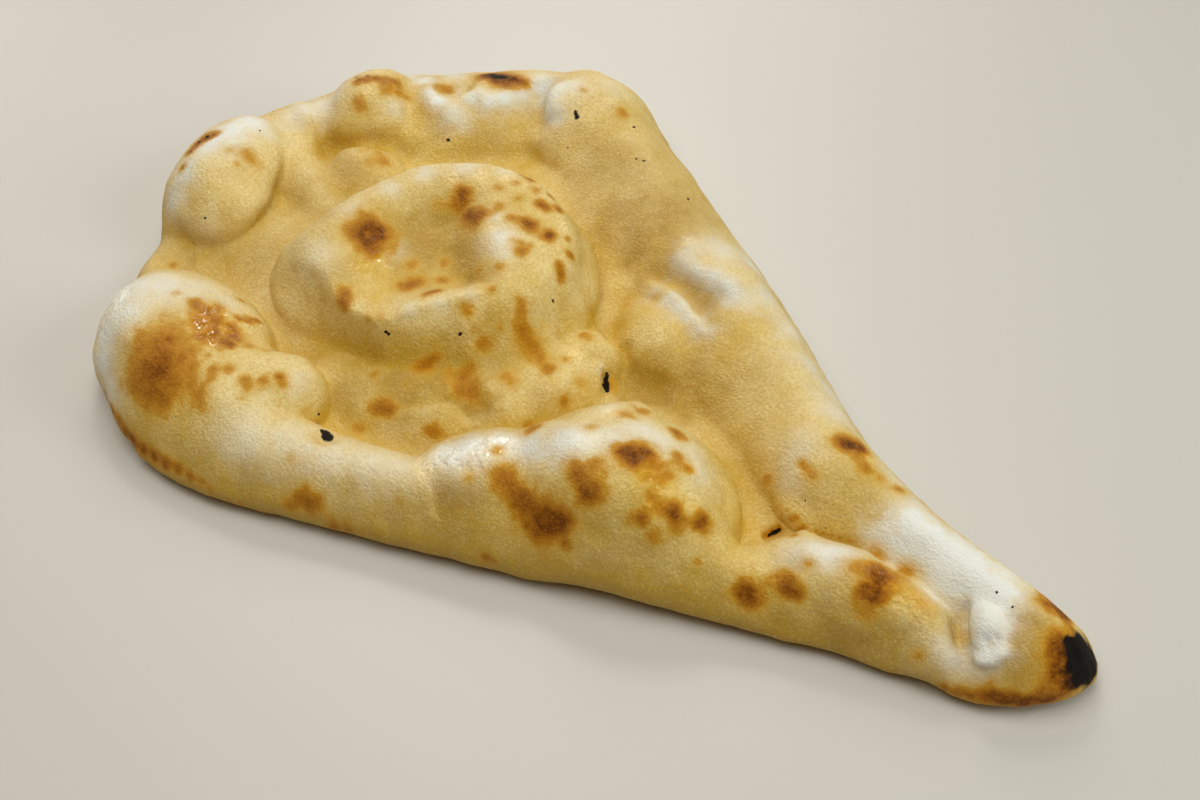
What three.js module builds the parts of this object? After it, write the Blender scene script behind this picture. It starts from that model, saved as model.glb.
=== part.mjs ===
// A naan bread: one leavened flatbread shaped like a long drop, with a broad round head and a narrow tip.
// Its rim is puffed into rolls and bubbles, and one large bubble in the head has a sunken crown.
// It is one solid, and it lies on its flat underside.
// Millimetres, +Z up. +X runs from the head to the tip, and +Y to the far side.
// The origin is on the table, under the middle of the bread's box.

import * as THREE from "three";

// Driving sizes.
const SHEET = 15; // thickness of the bread between its bubbles
const BLEND = 3; // how softly one bubble runs into the next
const FOOT = 4; // height from which a bubble rises
const WALL = 0.6; // how upright a bubble's wall is: 0.5 is upright at its foot
const ROLL_FLAT = 2.2; // how flat the crown of a roll is, as on a bubble
const SOFTEN = 2.5; // width over which the skin's creases are softened
const WAIST = 0.36; // height of the edge's widest line, as a share of the bread's height there
const EDGE_ROUND = 0.78; // how far in the edge's rounding reaches, as a share of the height there
const EDGE_MIN = 9; // least reach of that rounding
const EDGE_MAX = 26; // greatest reach of that rounding
const UNDER_ROUND = 11; // how far in the underside curls up to the edge
const WAVE = 0.8; // unevenness of the skin, up and down

// Cells of the top, along and across. The underside has half as many each way.
const ALONG = 92;
const ACROSS = 48;
const CROWDING = 0.5; // how strongly the cells crowd towards the edges, from 0 to 1
const RIM_STEPS = 160; // straight pieces in each side of the outline, for measuring to it

// The outline at its widest line, in four sides. Each side ends where the next begins.
const HEAD = [
  [-127, -144], [-142, -139], [-154, -129], [-163, -116], [-168, -102], [-174, -90], [-186, -80],
  [-199, -69], [-208, -55], [-214, -37], [-214, -15], [-210, 5], [-205, 22], [-203, 42], [-192, 60],
  [-177, 76], [-163, 90], [-147, 104], [-131, 115], [-115, 123],
];
const FAR_SIDE = [
  [-115, 123], [-97, 124], [-79, 118], [-54, 110], [-14, 94], [11, 87], [37, 76], [64, 63], [88, 53],
  [107, 48], [129, 44], [149, 42], [166, 44], [181, 45], [195, 43],
];
const TIP = [[195, 43], [204, 41], [211, 36], [214, 29], [213, 20], [208, 11], [202, 3]];
const NEAR_SIDE = [
  [202, 3], [191, -5], [178, -10], [164, -16], [142, -26], [119, -39], [95, -53], [70, -67], [45, -82],
  [19, -97], [-3, -109], [-25, -121], [-48, -134], [-68, -143], [-88, -149], [-110, -149], [-127, -144],
];

// Bubbles that stand on an oval: at = middle, size = half axes, turn = degrees from +X,
// top = height, flat = how flat the crown is (2 for a round dome, more for a broader one).
const BUBBLES = {
  crowned: { at: [-76, -16], size: [69, 54], turn: 27, top: 46, flat: 3 },
  nearLobe: { at: [-127, -119], size: [49, 42], turn: 8, top: 43, flat: 2.5 },
  nearLobeSide: { at: [-70, -107], size: [23, 26], turn: 20, top: 37, flat: 2.5 },
  nearBubble: { at: [39, -46], size: [70, 42], turn: 43, top: 49, flat: 2.2 },
  headCorner: { at: [-190, -43], size: [28, 37], turn: 7, top: 43, flat: 2.5 },
  headKnob: { at: [-184, 31], size: [25, 28], turn: 30, top: 44, flat: 2.2 },
  tuckedBubble: { at: [-145, 4], size: [22, 20], turn: 0, top: 31, flat: 2.2 },
  farCorner: { at: [-101, 96], size: [34, 38], turn: -20, top: 44, flat: 2.5 },
  farPillow: { at: [5, 30], size: [25, 17], turn: -25, top: 31, flat: 2.5 },
  farNeck: { at: [103, 26], size: [36, 28], turn: -10, top: 34, flat: 2.2 },
  paleNeck: { at: [158, 27], size: [38, 23], turn: 4, top: 33, flat: 2.5 },
  tip: { at: [196, 21], size: [30, 28], turn: 20, top: 29, flat: 2.5 },
};

// Rolls that run along a path of [x, y, height, half width].
const ROLLS = {
  crownBack: [
    [-91, -58, 42, 12], [-104, -46, 46, 15], [-108, -30, 50, 18], [-103, -10, 54, 24], [-94, 6, 57, 29],
    [-80, 17, 58, 31], [-62, 19, 57, 31], [-45, 12, 54, 29], [-36, -4, 52, 25], [-33, -22, 50, 18],
  ],
  crownFront: [[-33, -22, 50, 18], [-42, -41, 49, 14], [-57, -55, 47, 12], [-74, -62, 45, 11], [-91, -58, 42, 12]],
  crownSkirt: [[-78, -82, 19, 12], [-50, -78, 24, 15], [-26, -62, 28, 17], [-6, -42, 30, 17], [4, -22, 29, 15]],
  tornFlap: [[-28, -10, 40, 18], [-8, -6, 34, 15], [8, -2, 30, 11]],
  headRim: [[-208, -8, 32, 22], [-197, 12, 30, 22], [-190, 48, 33, 30], [-168, 72, 33, 36], [-138, 94, 35, 36]],
  headPleat: [[-158, 34, 23, 13], [-146, 52, 27, 15], [-134, 72, 30, 16], [-124, 96, 33, 17]],
  farRoll: [[-98, 92, 41, 36], [-60, 83, 38, 38], [-20, 70, 37, 38], [28, 54, 36, 34], [80, 36, 33, 30]],
  nearRoll: [[-110, -128, 34, 26], [-68, -122, 31, 22], [-30, -106, 29, 20], [2, -90, 29, 20], [34, -76, 34, 26]],
  nearNeck: [[62, -50, 38, 30], [92, -36, 33, 26], [118, -18, 32, 22], [148, -4, 31, 20], [180, 5, 31, 20]],
};

// Hollows pressed into the skin, on an oval like a bubble's.
const HOLLOWS = {
  crown: { at: [-84, -26], size: [36, 26], turn: 27, depth: 7 },
  tear: { at: [10, -12], size: [11, 8], turn: 40, depth: 9 },
};

// Creases: narrow grooves along a path.
const CREASES = {
  neckSeam: { path: [[80, -20], [99, -10], [124, 4], [144, 10], [162, 10], [176, 6]], depth: 8, width: 7 },
  pillowHook: { path: [[-26, 52], [-14, 54], [0, 51], [12, 48], [22, 42]], depth: 6, width: 7 },
  cornerPleat: { path: [[-130, 100], [-124, 88], [-112, 66]], depth: 6, width: 6 },
  rollTuck: { path: [[-14, -76], [0, -88], [8, -100]], depth: 4, width: 6 },
  tipFold: { path: [[190, 34], [182, 24], [184, 12], [190, 2]], depth: 4, width: 5 },
};

// How far a point is from the middle of a turned oval: 1 is on the oval.
function ovalReach(x, y, { at, size, turn }) {
  const angle = THREE.MathUtils.degToRad(turn);
  const along = (x - at[0]) * Math.cos(angle) + (y - at[1]) * Math.sin(angle);
  const across = (y - at[1]) * Math.cos(angle) - (x - at[0]) * Math.sin(angle);
  return Math.hypot(along / size[0], across / size[1]);
}

// The nearest place on a path: how far off it is, and the path's numbers there.
function nearestOnPath(x, y, path) {
  let nearest = { distance: Infinity };
  for (let i = 0; i + 1 < path.length; i++) {
    const [from, to] = [path[i], path[i + 1]];
    const [stepX, stepY] = [to[0] - from[0], to[1] - from[1]];
    const along = ((x - from[0]) * stepX + (y - from[1]) * stepY) / (stepX ** 2 + stepY ** 2);
    const share = THREE.MathUtils.clamp(along, 0, 1);
    const distance = Math.hypot(x - from[0] - stepX * share, y - from[1] - stepY * share);
    if (distance < nearest.distance) {
      nearest = { distance, values: from.map((value, k) => THREE.MathUtils.lerp(value, to[k], share)) };
    }
  }
  return nearest;
}

// Height of a dome or roll at a reach from its middle, sinking away outside it.
function puff(top, reach, flat) {
  return FOOT + (top - FOOT) * (reach < 1 ? (1 - reach ** flat) ** WALL : 1 - reach);
}

// A gentle unevenness made of a few crossing waves.
function skinWave(x, y) {
  return (
    0.5 * Math.sin(0.11 * x + 0.05 * y + 0.4) +
    0.5 * Math.sin(-0.06 * x + 0.13 * y + 2.1) +
    0.3 * Math.sin(0.21 * x - 0.17 * y + 4.0) +
    0.3 * Math.sin(0.16 * x + 0.27 * y + 1.3)
  );
}

// Height of the puffed skin, creases and all.
function creasedHeight(x, y) {
  const heights = [SHEET];
  for (const bubble of Object.values(BUBBLES)) {
    heights.push(puff(bubble.top, ovalReach(x, y, bubble), bubble.flat));
  }
  for (const path of Object.values(ROLLS)) {
    const { distance, values: [, , top, halfWidth] } = nearestOnPath(x, y, path);
    heights.push(puff(top, distance / halfWidth, ROLL_FLAT));
  }
  const highest = Math.max(...heights);
  const sum = heights.reduce((total, height) => total + Math.exp((height - highest) / BLEND), 0);
  let skin = highest + BLEND * Math.log(sum);
  for (const hollow of Object.values(HOLLOWS)) {
    const reach = ovalReach(x, y, hollow);
    if (reach < 1) skin -= hollow.depth * (1 - reach ** 3) ** 2;
  }
  for (const { path, depth, width } of Object.values(CREASES)) {
    skin -= depth * Math.exp(-((nearestOnPath(x, y, path).distance / width) ** 2));
  }
  return Math.max(skin + WAVE * skinWave(x, y), SHEET / 2);
}

// Height of the skin before its edge is rounded off: the mean of a place and six around it.
function puffedHeight(x, y) {
  let total = creasedHeight(x, y);
  for (let k = 0; k < 6; k++) {
    const angle = (k * Math.PI) / 3;
    total += creasedHeight(x + SOFTEN * Math.cos(angle), y + SOFTEN * Math.sin(angle));
  }
  return total / 7;
}

// The outline's sides as smooth curves, and the whole of it as short straight pieces.
function smoothSide(points) {
  const places = points.map(([x, y]) => new THREE.Vector3(x, y, 0));
  return new THREE.CatmullRomCurve3(places, false, "centripetal");
}
const head = smoothSide(HEAD);
const farSide = smoothSide(FAR_SIDE);
const tip = smoothSide(TIP);
const nearSide = smoothSide(NEAR_SIDE);
const rim = [head, farSide, tip, nearSide]
  .flatMap((side) => side.getSpacedPoints(RIM_STEPS))
  .map(({ x, y }) => [x, y])
  .filter(([x, y], i, all) => i === 0 || Math.hypot(x - all[i - 1][0], y - all[i - 1][1]) > 1e-6);

// A place on the plan: u runs from the head to the tip, and v from the near side to the far side.
function planPoint(u, v) {
  const ends = new THREE.Vector3().lerpVectors(head.getPointAt(v), tip.getPointAt(1 - v), u);
  const flanks = new THREE.Vector3().lerpVectors(nearSide.getPointAt(1 - u), farSide.getPointAt(u), v);
  const headCorners = new THREE.Vector3().lerpVectors(head.getPointAt(0), head.getPointAt(1), v);
  const tipCorners = new THREE.Vector3().lerpVectors(tip.getPointAt(1), tip.getPointAt(0), v);
  return ends.add(flanks).sub(headCorners.lerp(tipCorners, u));
}

// Steps from 0 to 1 that crowd towards both ends, where the edge turns over.
function crowded(share) {
  return THREE.MathUtils.lerp(share, (1 - Math.cos(Math.PI * share)) / 2, CROWDING);
}

// A quarter round: 0 at the rim, and 1 from its reach inwards.
function quarterRound(distance, reach) {
  const left = Math.max(1 - distance / reach, 0);
  return Math.sqrt(1 - left ** 2);
}

// The top and the underside over one place on the plan.
function skinAt(i, j) {
  const onRim = i === 0 || j === 0 || i === ALONG || j === ACROSS;
  const { x, y } = planPoint(crowded(i / ALONG), crowded(j / ACROSS));
  const distance = onRim ? 0 : nearestOnPath(x, y, rim).distance;
  const full = puffedHeight(x, y);
  const reach = THREE.MathUtils.clamp(full * EDGE_ROUND, EDGE_MIN, EDGE_MAX);
  const top = full * THREE.MathUtils.lerp(WAIST, 1, quarterRound(distance, reach));
  const under = full * WAIST * (1 - quarterRound(distance, UNDER_ROUND));
  return { x, y, top, under, onRim };
}

// The closed skin: the top's fine cells, and under them cells twice as large that share the rim.
function naanGeometry() {
  const positions = [];
  const faces = [];
  const addPoint = (x, y, z) => positions.push(x, y, z) / 3 - 1;

  const top = [];
  const under = [];
  for (let i = 0; i <= ALONG; i++) {
    top.push([]);
    under.push([]);
    for (let j = 0; j <= ACROSS; j++) {
      const skin = skinAt(i, j);
      top[i].push(addPoint(skin.x, skin.y, skin.top));
      const shared = skin.onRim || i % 2 || j % 2;
      under[i].push(shared ? top[i][j] : addPoint(skin.x, skin.y, skin.under));
    }
  }

  for (let i = 0; i < ALONG; i++) {
    for (let j = 0; j < ACROSS; j++) {
      const [a, b, c, d] = [top[i][j], top[i + 1][j], top[i + 1][j + 1], top[i][j + 1]];
      const height = (point) => positions[3 * point + 2];
      const levelAC = Math.abs(height(a) - height(c)) < Math.abs(height(b) - height(d));
      faces.push(...(levelAC ? [a, b, c, a, c, d] : [b, c, d, b, d, a]));
    }
  }

  for (let i = 0; i < ALONG; i += 2) {
    for (let j = 0; j < ACROSS; j += 2) addUnderCell(faces, under, i, j);
  }

  const geometry = new THREE.BufferGeometry();
  geometry.setAttribute("position", new THREE.Float32BufferAttribute(positions, 3));
  geometry.setIndex(faces);
  geometry.computeBoundingBox();
  const middle = geometry.boundingBox.getCenter(new THREE.Vector3());
  geometry.translate(-middle.x, -middle.y, -geometry.boundingBox.min.z);
  geometry.computeVertexNormals();
  return geometry;
}

// One cell of the underside, as a fan from its corner that is farthest from the rim.
// A side that lies on the rim also takes in the top's point half way along it.
function addUnderCell(faces, under, i, j) {
  const corners = [[i, j], [i, j + 2], [i + 2, j + 2], [i + 2, j]];
  const loop = corners.flatMap(([ci, cj], k) => {
    const [ni, nj] = corners[(k + 1) % 4];
    const sideOnRim = (ci === ni && (ci === 0 || ci === ALONG)) || (cj === nj && (cj === 0 || cj === ACROSS));
    const corner = under[ci][cj];
    return sideOnRim ? [corner, under[(ci + ni) / 2][(cj + nj) / 2]] : [corner];
  });
  const inner = under[i < ALONG / 2 ? i + 2 : i][j < ACROSS / 2 ? j + 2 : j];
  const start = loop.indexOf(inner);
  for (let k = 1; k + 1 < loop.length; k++) {
    faces.push(inner, loop[(start + k) % loop.length], loop[(start + k + 1) % loop.length]);
  }
}

const bakedDough = new THREE.MeshStandardMaterial({ color: 0xd2b277, roughness: 0.5, metalness: 0 });
const naan = new THREE.Mesh(naanGeometry(), bakedDough);
naan.name = "naan";

const group = new THREE.Group();
group.add(naan);
export default group;
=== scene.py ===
"""A naan bread lying on a pale floor, in soft studio light.

The bread's forms are worked out in millimetres on its plan: +X runs from the head to the tip, +Y to the far
side, and +Z up. They become metres, centred on the frame, when they are written to the mesh.
"""

import math

import bmesh
import bpy
import numpy as np
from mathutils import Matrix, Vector
from mathutils.bvhtree import BVHTree


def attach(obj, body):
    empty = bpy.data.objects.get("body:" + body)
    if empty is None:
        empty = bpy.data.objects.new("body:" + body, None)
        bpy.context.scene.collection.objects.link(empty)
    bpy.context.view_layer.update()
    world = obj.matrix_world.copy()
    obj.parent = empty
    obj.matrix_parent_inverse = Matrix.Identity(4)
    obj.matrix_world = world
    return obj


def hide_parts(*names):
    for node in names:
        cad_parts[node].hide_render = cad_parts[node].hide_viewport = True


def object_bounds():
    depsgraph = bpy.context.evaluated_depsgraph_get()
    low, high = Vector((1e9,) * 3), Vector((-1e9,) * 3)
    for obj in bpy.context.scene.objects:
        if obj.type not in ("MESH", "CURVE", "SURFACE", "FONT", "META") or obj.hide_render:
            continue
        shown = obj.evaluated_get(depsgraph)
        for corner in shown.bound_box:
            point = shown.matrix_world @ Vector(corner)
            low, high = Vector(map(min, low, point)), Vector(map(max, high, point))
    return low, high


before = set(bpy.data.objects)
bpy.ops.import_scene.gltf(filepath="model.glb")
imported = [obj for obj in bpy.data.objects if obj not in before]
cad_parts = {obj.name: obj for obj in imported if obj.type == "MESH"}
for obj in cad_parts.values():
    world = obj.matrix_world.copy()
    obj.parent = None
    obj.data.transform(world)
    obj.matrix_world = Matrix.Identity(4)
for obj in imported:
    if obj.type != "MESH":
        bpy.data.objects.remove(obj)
cad_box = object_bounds()

MM = 0.001
LIMITS = np.array(cad_box[1]) / MM  # half the length and half the width, and the height
TINY = 1e-9  # keeps a division from being by zero


# ---------------------------------------------------------------- main forms, in millimetres

SHEET = 15.0  # thickness between the bubbles
BLEND = 3.2  # how softly one bubble runs into the next
FOOT = 4.0  # height from which a bubble rises
ROLL_FLAT = 2.2  # how flat the crown of a roll is
WAIST = 0.36  # height of the edge's widest line, as a share of the bread's height there
EDGE_ROUND = 0.78  # how far in the edge's rounding reaches, as a share of the height there
EDGE_LEAST, EDGE_MOST = 9.0, 26.0  # the least and the most that it reaches in
UNDER_ROUND = 11.0  # how far in the underside curls up to the edge

# Cells of the underside, along and across. The top is cut twice as fine.
UNDER_ALONG, UNDER_ACROSS = 220, 84
TOP_ALONG, TOP_ACROSS = 2 * UNDER_ALONG, 2 * UNDER_ACROSS
EVENNESS = 0.75  # how far the cells are evened out along the skin: 1 is all the way
MERGED = 0.01  # points closer than this become one
STEPS = 24  # steps of a smooth line from one of its points to the next
THINNED = 8  # every eighth step is enough to measure how far a place is from the line

# The outline at its widest line, in four sides. Each side ends where the next begins.
HEAD = [
    (-127, -144), (-142, -139), (-154, -129), (-163, -116), (-169, -106), (-178, -97), (-184, -87),
    (-189, -77), (-199, -69), (-208, -55), (-214, -37), (-214, -15), (-210, 5), (-205, 22), (-203, 42),
    (-192, 60), (-177, 76), (-163, 90), (-147, 104), (-131, 115), (-115, 123),
]
FAR_SIDE = [
    (-115, 123), (-97, 124), (-79, 118), (-54, 110), (-14, 94), (11, 87), (37, 76), (64, 63), (88, 53),
    (107, 48), (129, 44), (149, 42), (166, 44), (181, 45), (195, 43),
]
TIP = [(195, 43), (204, 41), (211, 36), (214, 29), (213, 20), (208, 11), (202, 3)]
NEAR_SIDE = [
    (202, 3), (191, -5), (178, -10), (164, -16), (142, -26), (119, -39), (95, -53), (70, -67), (45, -82),
    (19, -97), (-3, -109), (-25, -121), (-48, -134), (-68, -143), (-88, -149), (-110, -149), (-127, -144),
]

# Bubbles on an oval foot: middle, half axes, turn from +X in degrees, height, flatness of the crown, and how
# upright the wall is: 0.5 is upright at its foot, and 1.5 runs out softly.
BUBBLES = {
    "near_lobe": ((-126, -118), (51, 43), 8, 43, 2.4, 0.62),
    "near_lobe_side": ((-86, -111), (36, 28), 8, 36, 2.4, 0.62),
    "near_lobe_plump": ((-75, -96), (20, 18), 20, 34, 2.6, 0.62),
    "near_bubble": ((50, -41), (48, 42), 20, 49, 2.3, 0.62),
    "near_bubble_side": ((18, -69), (37, 31), 38, 38, 2.3, 0.65),
    "head_corner": ((-194, -41), (33, 37), 14, 41, 3.6, 0.62),
    "head_corner_low": ((-174, -49), (23, 23), 20, 35, 3.2, 0.62),
    "head_knob": ((-175, 31), (25, 28), 35, 41, 2.4, 0.8),
    "tucked_bubble": ((-150, 2), (25, 25), 0, 31, 2.2, 0.8),
    "far_corner": ((-101, 96), (35, 37), -20, 44, 2.5, 0.62),
    "far_pillow": ((4, 26), (40, 26), -8, 29, 2.0, 1.6),
    "hook_bulge": ((14, 62), (30, 20), -22, 38, 2.2, 1.5),
    "far_neck": ((98, 23), (37, 27), -12, 37, 2.3, 1.0),
    "tip": ((195, 18), (27, 28), 20, 29, 2.5, 0.8),
    "tongue": ((180, 9.5), (14, 9), -38, 30, 2.2, 0.7),
    "inner_swell": ((-138, -46), (62, 44), 10, 26, 2.0, 1.4),
}

# Rolls: how upright the wall is, and a path of (x, y, height, half width).
ROLLS = {
    "head_rim": (1.3, [
        (-206, -10, 31, 26), (-194, 14, 32, 30), (-168, 42, 33, 44), (-152, 58, 35, 48),
        (-138, 74, 36, 48), (-124, 92, 37, 46),
    ]),
    "head_fold": (1.0, [
        (-196, -4, 28, 22), (-176, -13, 29, 22), (-158, -18, 28, 20), (-142, -23, 26, 16),
    ]),
    "behind_crown": (1.4, [
        (-134, 12, 20, 32), (-116, 30, 22, 34), (-96, 50, 24, 36), (-70, 58, 24, 34), (-45, 52, 23, 32),
        (-25, 40, 22, 28),
    ]),
    "far_roll": (1.3, [
        (-98, 92, 41, 40), (-60, 82, 38, 46), (-20, 68, 36, 46), (28, 52, 35, 44), (80, 34, 33, 36),
    ]),
    "skirt": (1.2, [
        (-68, -76, 24, 17), (-50, -70, 27, 24), (-30, -56, 29, 30), (-14, -38, 30, 30), (-6, -18, 29, 26),
        (-8, 0, 28, 20),
    ]),
    "near_roll": (0.62, [
        (-110, -128, 34, 26), (-68, -122, 31, 22), (-36, -110, 29, 20), (-6, -95, 29, 19),
        (16, -84, 30, 18),
    ]),
    "neck_top": (1.1, [
        (84, 27, 31, 30), (106, 27, 32, 31), (128, 25, 32, 27), (148, 25, 31, 24), (168, 25, 30, 22),
        (186, 24, 29, 20),
    ]),
    "near_flank": (0.9, [(60, -50, 40, 36), (84, -44, 34, 28), (104, -37, 28, 20), (116, -33, 24, 14)]),
    "near_neck": (0.7, [
        (110, -26, 27, 16), (121, -18, 32, 21), (136, -10, 33, 21), (150, -5, 32, 18), (161, -3, 29, 15),
        (170, -8, 25, 12),
    ]),
}

# Groove between the pillow and the hook-shaped bulge: a path on the plan, its depth and its width.
PILLOW_GROOVE = [(-24, 44), (-12, 47), (2, 48), (13, 44), (20, 37)]
PILLOW_GROOVE_DEPTH, PILLOW_GROOVE_WIDTH = 2.5, 9

# The big sunken bubble: the line at its foot, its rim, and the edge of the hollow in its top.
CROWN_FOOT = [
    (-130, -44), (-130, -57), (-120, -67), (-103, -72), (-85, -70), (-67, -68), (-52, -62), (-36, -52),
    (-20, -42), (-10, -28), (-10, -9), (-17, 10), (-30, 28), (-46, 38), (-66, 42), (-84, 39), (-100, 29),
    (-112, 14), (-119, -4), (-123, -26),
]
CROWN_RIM = [
    (-110, -44), (-112, -32), (-109, -16), (-103, 0), (-94, 12), (-82, 22), (-70, 27), (-58, 27),
    (-46, 22), (-38, 14), (-32, 4), (-31, -8), (-34, -19), (-41, -30), (-51, -46), (-57, -58), (-66, -62),
    (-77, -63), (-91, -58), (-102, -52),
]
CROWN_HOLLOW = [
    (-106, -44), (-107, -33), (-105, -18), (-99, -3), (-92, 7), (-83, 13), (-75, 13), (-67, 6), (-57, 0),
    (-48, -6), (-39, -12), (-35, -18), (-39, -25), (-44, -33), (-52, -46), (-58, -57), (-66, -61),
    (-76, -61), (-89, -56), (-99, -50),
]
CROWN_FRONT = (-57, -58, 46)  # a place on the hollow's edge, and its height
CROWN_SLOPE = (-0.05, 0.13)  # how much the edge rises with x and with y
CROWN_TO_FRONT = ((-77.2, -13.02), (0.72, -0.69), 50)  # from its back to its front: start, heading and run
CROWN_BASE = (15.0, 27.0)  # height of its foot at the back and at the front
CROWN_BULGE = (0.7, 1.2)  # how the wall rises at the back and at the front: less is more upright at the foot
SHOULDER_FALL, SHOULDER_RUN = 6.0, 24.0  # how far the shoulder falls away outside the hollow, and over what
SHOULDER_ROUND = 1.5  # how roundly it falls
SINK = (1.5, 12.0)  # how deep the top sinks at its near head corner and across from it
SINK_ACROSS = ((-105, -50), (0.8, 0.6), 60)  # from that corner across: start, heading and run
SINK_RUN = 21.0  # how far inside its edge the hollow is all the way down


# ---------------------------------------------------------------- small forms, in millimetres

# Walls lean out over the crease at their foot.
OVERHANG = 3.0  # how far a wall leans out
LEAN_CELLS = 11  # cells within which the wall's foot is looked for
LEAN_HEIGHT = 16  # height above the foot at which the wall is back where it was
LEAN_EDGE = (6, 16)  # how far in from the outline the leaning starts, and where it is full
LEAN_STEEPNESS = (0.35, 0.85)  # how steep a wall starts to lean, and how steep it leans fully
LEAN_SOFTENED = 3  # times that the leaning is blurred

# Places where a wall runs out softly and doesn't lean: middle and reach.
SOFT_FEET = [((-72, -71), 18), ((-36, -38), 30), ((-14, -12), 22), ((176, 4), 26), ((150, 12), 22)]

# The view that the small forms and the marks are placed in: its size and focal length in pixels, the side
# that it looks from, and its distance from the middle of the bread, on the floor.
VIEW_WIDTH, VIEW_HEIGHT = 1200, 800
FOCAL = 1700
AZIMUTH, ELEVATION = math.radians(46), math.radians(49.5)
DISTANCE = 674.6
BACK = np.array(
    [math.sin(AZIMUTH) * math.cos(ELEVATION), -math.cos(AZIMUTH) * math.cos(ELEVATION), math.sin(ELEVATION)])
RIGHT = np.array([math.cos(AZIMUTH), math.sin(AZIMUTH), 0])
UP = np.cross(BACK, RIGHT)
PIXEL_STEP = 4  # pixels from one ray along a line to the next

# Small ridges, grooves, bumps and dents, each along a line of the view's pixels or at one: height, where
# less than 0 sinks, and width.
RIDGES = {
    "corner_crease": (
        [(284, 147), (283, 171), (276, 189), (268, 206), (256, 218), (247, 229), (232, 238)],
        -1.5, 3,
    ),
    "knob_valley": ([(316, 166), (330, 147), (357, 141), (389, 143), (402, 155)], -3, 5),
    "knob_side": ([(404, 78), (412, 96), (416, 113), (410, 133)], -2.5, 5),
    "pleat_crest": ([(424, 84), (432, 100), (448, 113), (456, 128)], 3.2, 5),
    "pleat_top": ([(448, 112), (461, 100), (477, 95), (490, 103), (505, 99), (530, 87)], 3.2, 5),
    "pleat_valley": ([(440, 84), (458, 88), (478, 87)], -3, 6),
    "far_corner_crease": ([(536, 80), (534, 100), (536, 118), (546, 132)], -4, 6),
    "far_corner_edge": ([(556, 84), (553, 100), (555, 116)], 2.5, 6),
    "rim_bump": ([(296, 118), (312, 114)], 2.5, 9),
    "rim_dip": ([(150, 268), (170, 262), (195, 256)], -2, 9),
    "hook_dent": ([(655, 272), (680, 278), (696, 292), (708, 316)], -2.2, 5),
    "hook_shelf": ([(668, 264), (688, 268), (708, 274), (736, 290)], 2.6, 6),
    "hook_back": ([(672, 262), (684, 252), (700, 242)], 1.6, 5),
    "ring_blister": ([(587, 336)], 1.4, 3),
    "tear_pit": ([(607, 370), (606, 394)], -2.6, 3.2),
    "tear_arc": ([(586, 360), (598, 358), (606, 362)], -1.5, 2.5),
    "pocket": ([(616, 382), (642, 393), (672, 402)], -3, 7),
    "char_pit": ([(326, 436)], -4, 4),
    "neck_slit": ([(762, 537), (774, 533), (784, 528)], -3.5, 2.2),
    "neck_flap": ([(772, 508), (788, 512), (800, 525), (806, 536)], 2.5, 5),
    "near_crest": ([(450, 446), (500, 438), (546, 438), (591, 433), (624, 430), (656, 438)], 2, 9),
    "near_back": ([(570, 415), (600, 410), (635, 410), (662, 420)], 3.0, 6),
    "near_hollow": ([(545, 414), (590, 412), (630, 412)], -1.5, 8),
    "tongue_slit": ([(971, 602), (967, 620), (970, 642)], -1.8, 1.8),
    "tongue_hollow": ([(981, 641), (991, 644), (1002, 637)], -1.2, 2.6),
    "crescent": ([(974, 656), (984, 661), (995, 660), (1004, 653), (1009, 643)], 1.8, 2.4),
    "terrace_bumps": ([(372, 366), (400, 374), (424, 384)], 1.8, 6),
    "terrace_dip": ([(440, 362), (462, 378), (474, 398)], -1.2, 6),
    "terrace_valley": ([(446, 396), (458, 411), (470, 426)], -2.2, 3.5),
    "terrace_ridge": ([(476, 374), (488, 394), (500, 412)], 2.0, 4),
    "terrace_swell": ([(500, 372), (512, 392)], 1.5, 8),
    "terrace_end": ([(545, 378), (572, 388)], 1.5, 8),
    "flank_valley": ([(746, 541), (766, 556), (786, 568), (800, 584)], -1.5, 7),
}
RIDGE_REACH = 3  # widths after which a ridge has run out

# Folds, each along a line of the view's pixels with the high side on its left as seen: lift of the high
# side, drop of the low side, width over which both fade, and how far the high side leans over.
FOLDS = {
    "head_fold": ([(340, 203), (325, 186), (310, 169), (296, 152), (286, 146)], 1.2, 2, 9, 0.5),
    "corner_fold": (
        [(226, 241), (240, 236), (250, 227), (262, 212), (272, 196), (279, 178), (282, 160), (280, 146)],
        1.0, 1.8, 6, 0.9,
    ),
    "near_edge": ([(441, 530), (433, 510), (430, 488), (414, 466)], 0.9, 0.8, 10, 0),
    "crown_ridge": ([(384, 320), (418, 309), (463, 299), (489, 290), (514, 289)], 1.5, 0.5, 6, 1.0),
    "crescent_edge": ([(972, 660), (983, 665), (996, 664), (1007, 656), (1012, 644)], 0.8, 1.2, 3, 0.4),
    "tongue_left": (
        [(980, 594), (973, 604), (970, 618), (969, 630), (972, 642), (979, 652)],
        1.2, 1.2, 5, 0.8,
    ),
    "rumple_fold": (
        [(471, 428), (464, 419), (450, 402), (429, 408), (404, 411), (386, 416)],
        2.0, 2.6, 5, 0.8,
    ),
    "pillow_scarp": (
        [(707, 334), (700, 320), (688, 304), (674, 291), (656, 282), (640, 280)],
        3.2, 2.4, 12, 0.8,
    ),
    "skirt_edge": ([(628, 368), (618, 352), (606, 340), (598, 328), (590, 312)], 0.8, 2.2, 6, 0.6),
    "tear_wall": ([(603, 396), (601, 384), (601, 374), (604, 360)], 1.2, 2.6, 5, 1.2),
}
FOLD_EDGE = 1.3  # half the width of the step
FOLD_REACH = 4  # widths after which a fold has run out
FOLD_LEAN = (1.5, 3.0)  # where on the high side it leans most, and over what width

END_TAPER = 0.25  # share of a line over which it fades in, and out
END_ROUND = 0.7  # how roundly it fades: less is rounder
SKIN_SMOOTHED = 12  # times that the skin is blurred before the way out of it is taken

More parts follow.
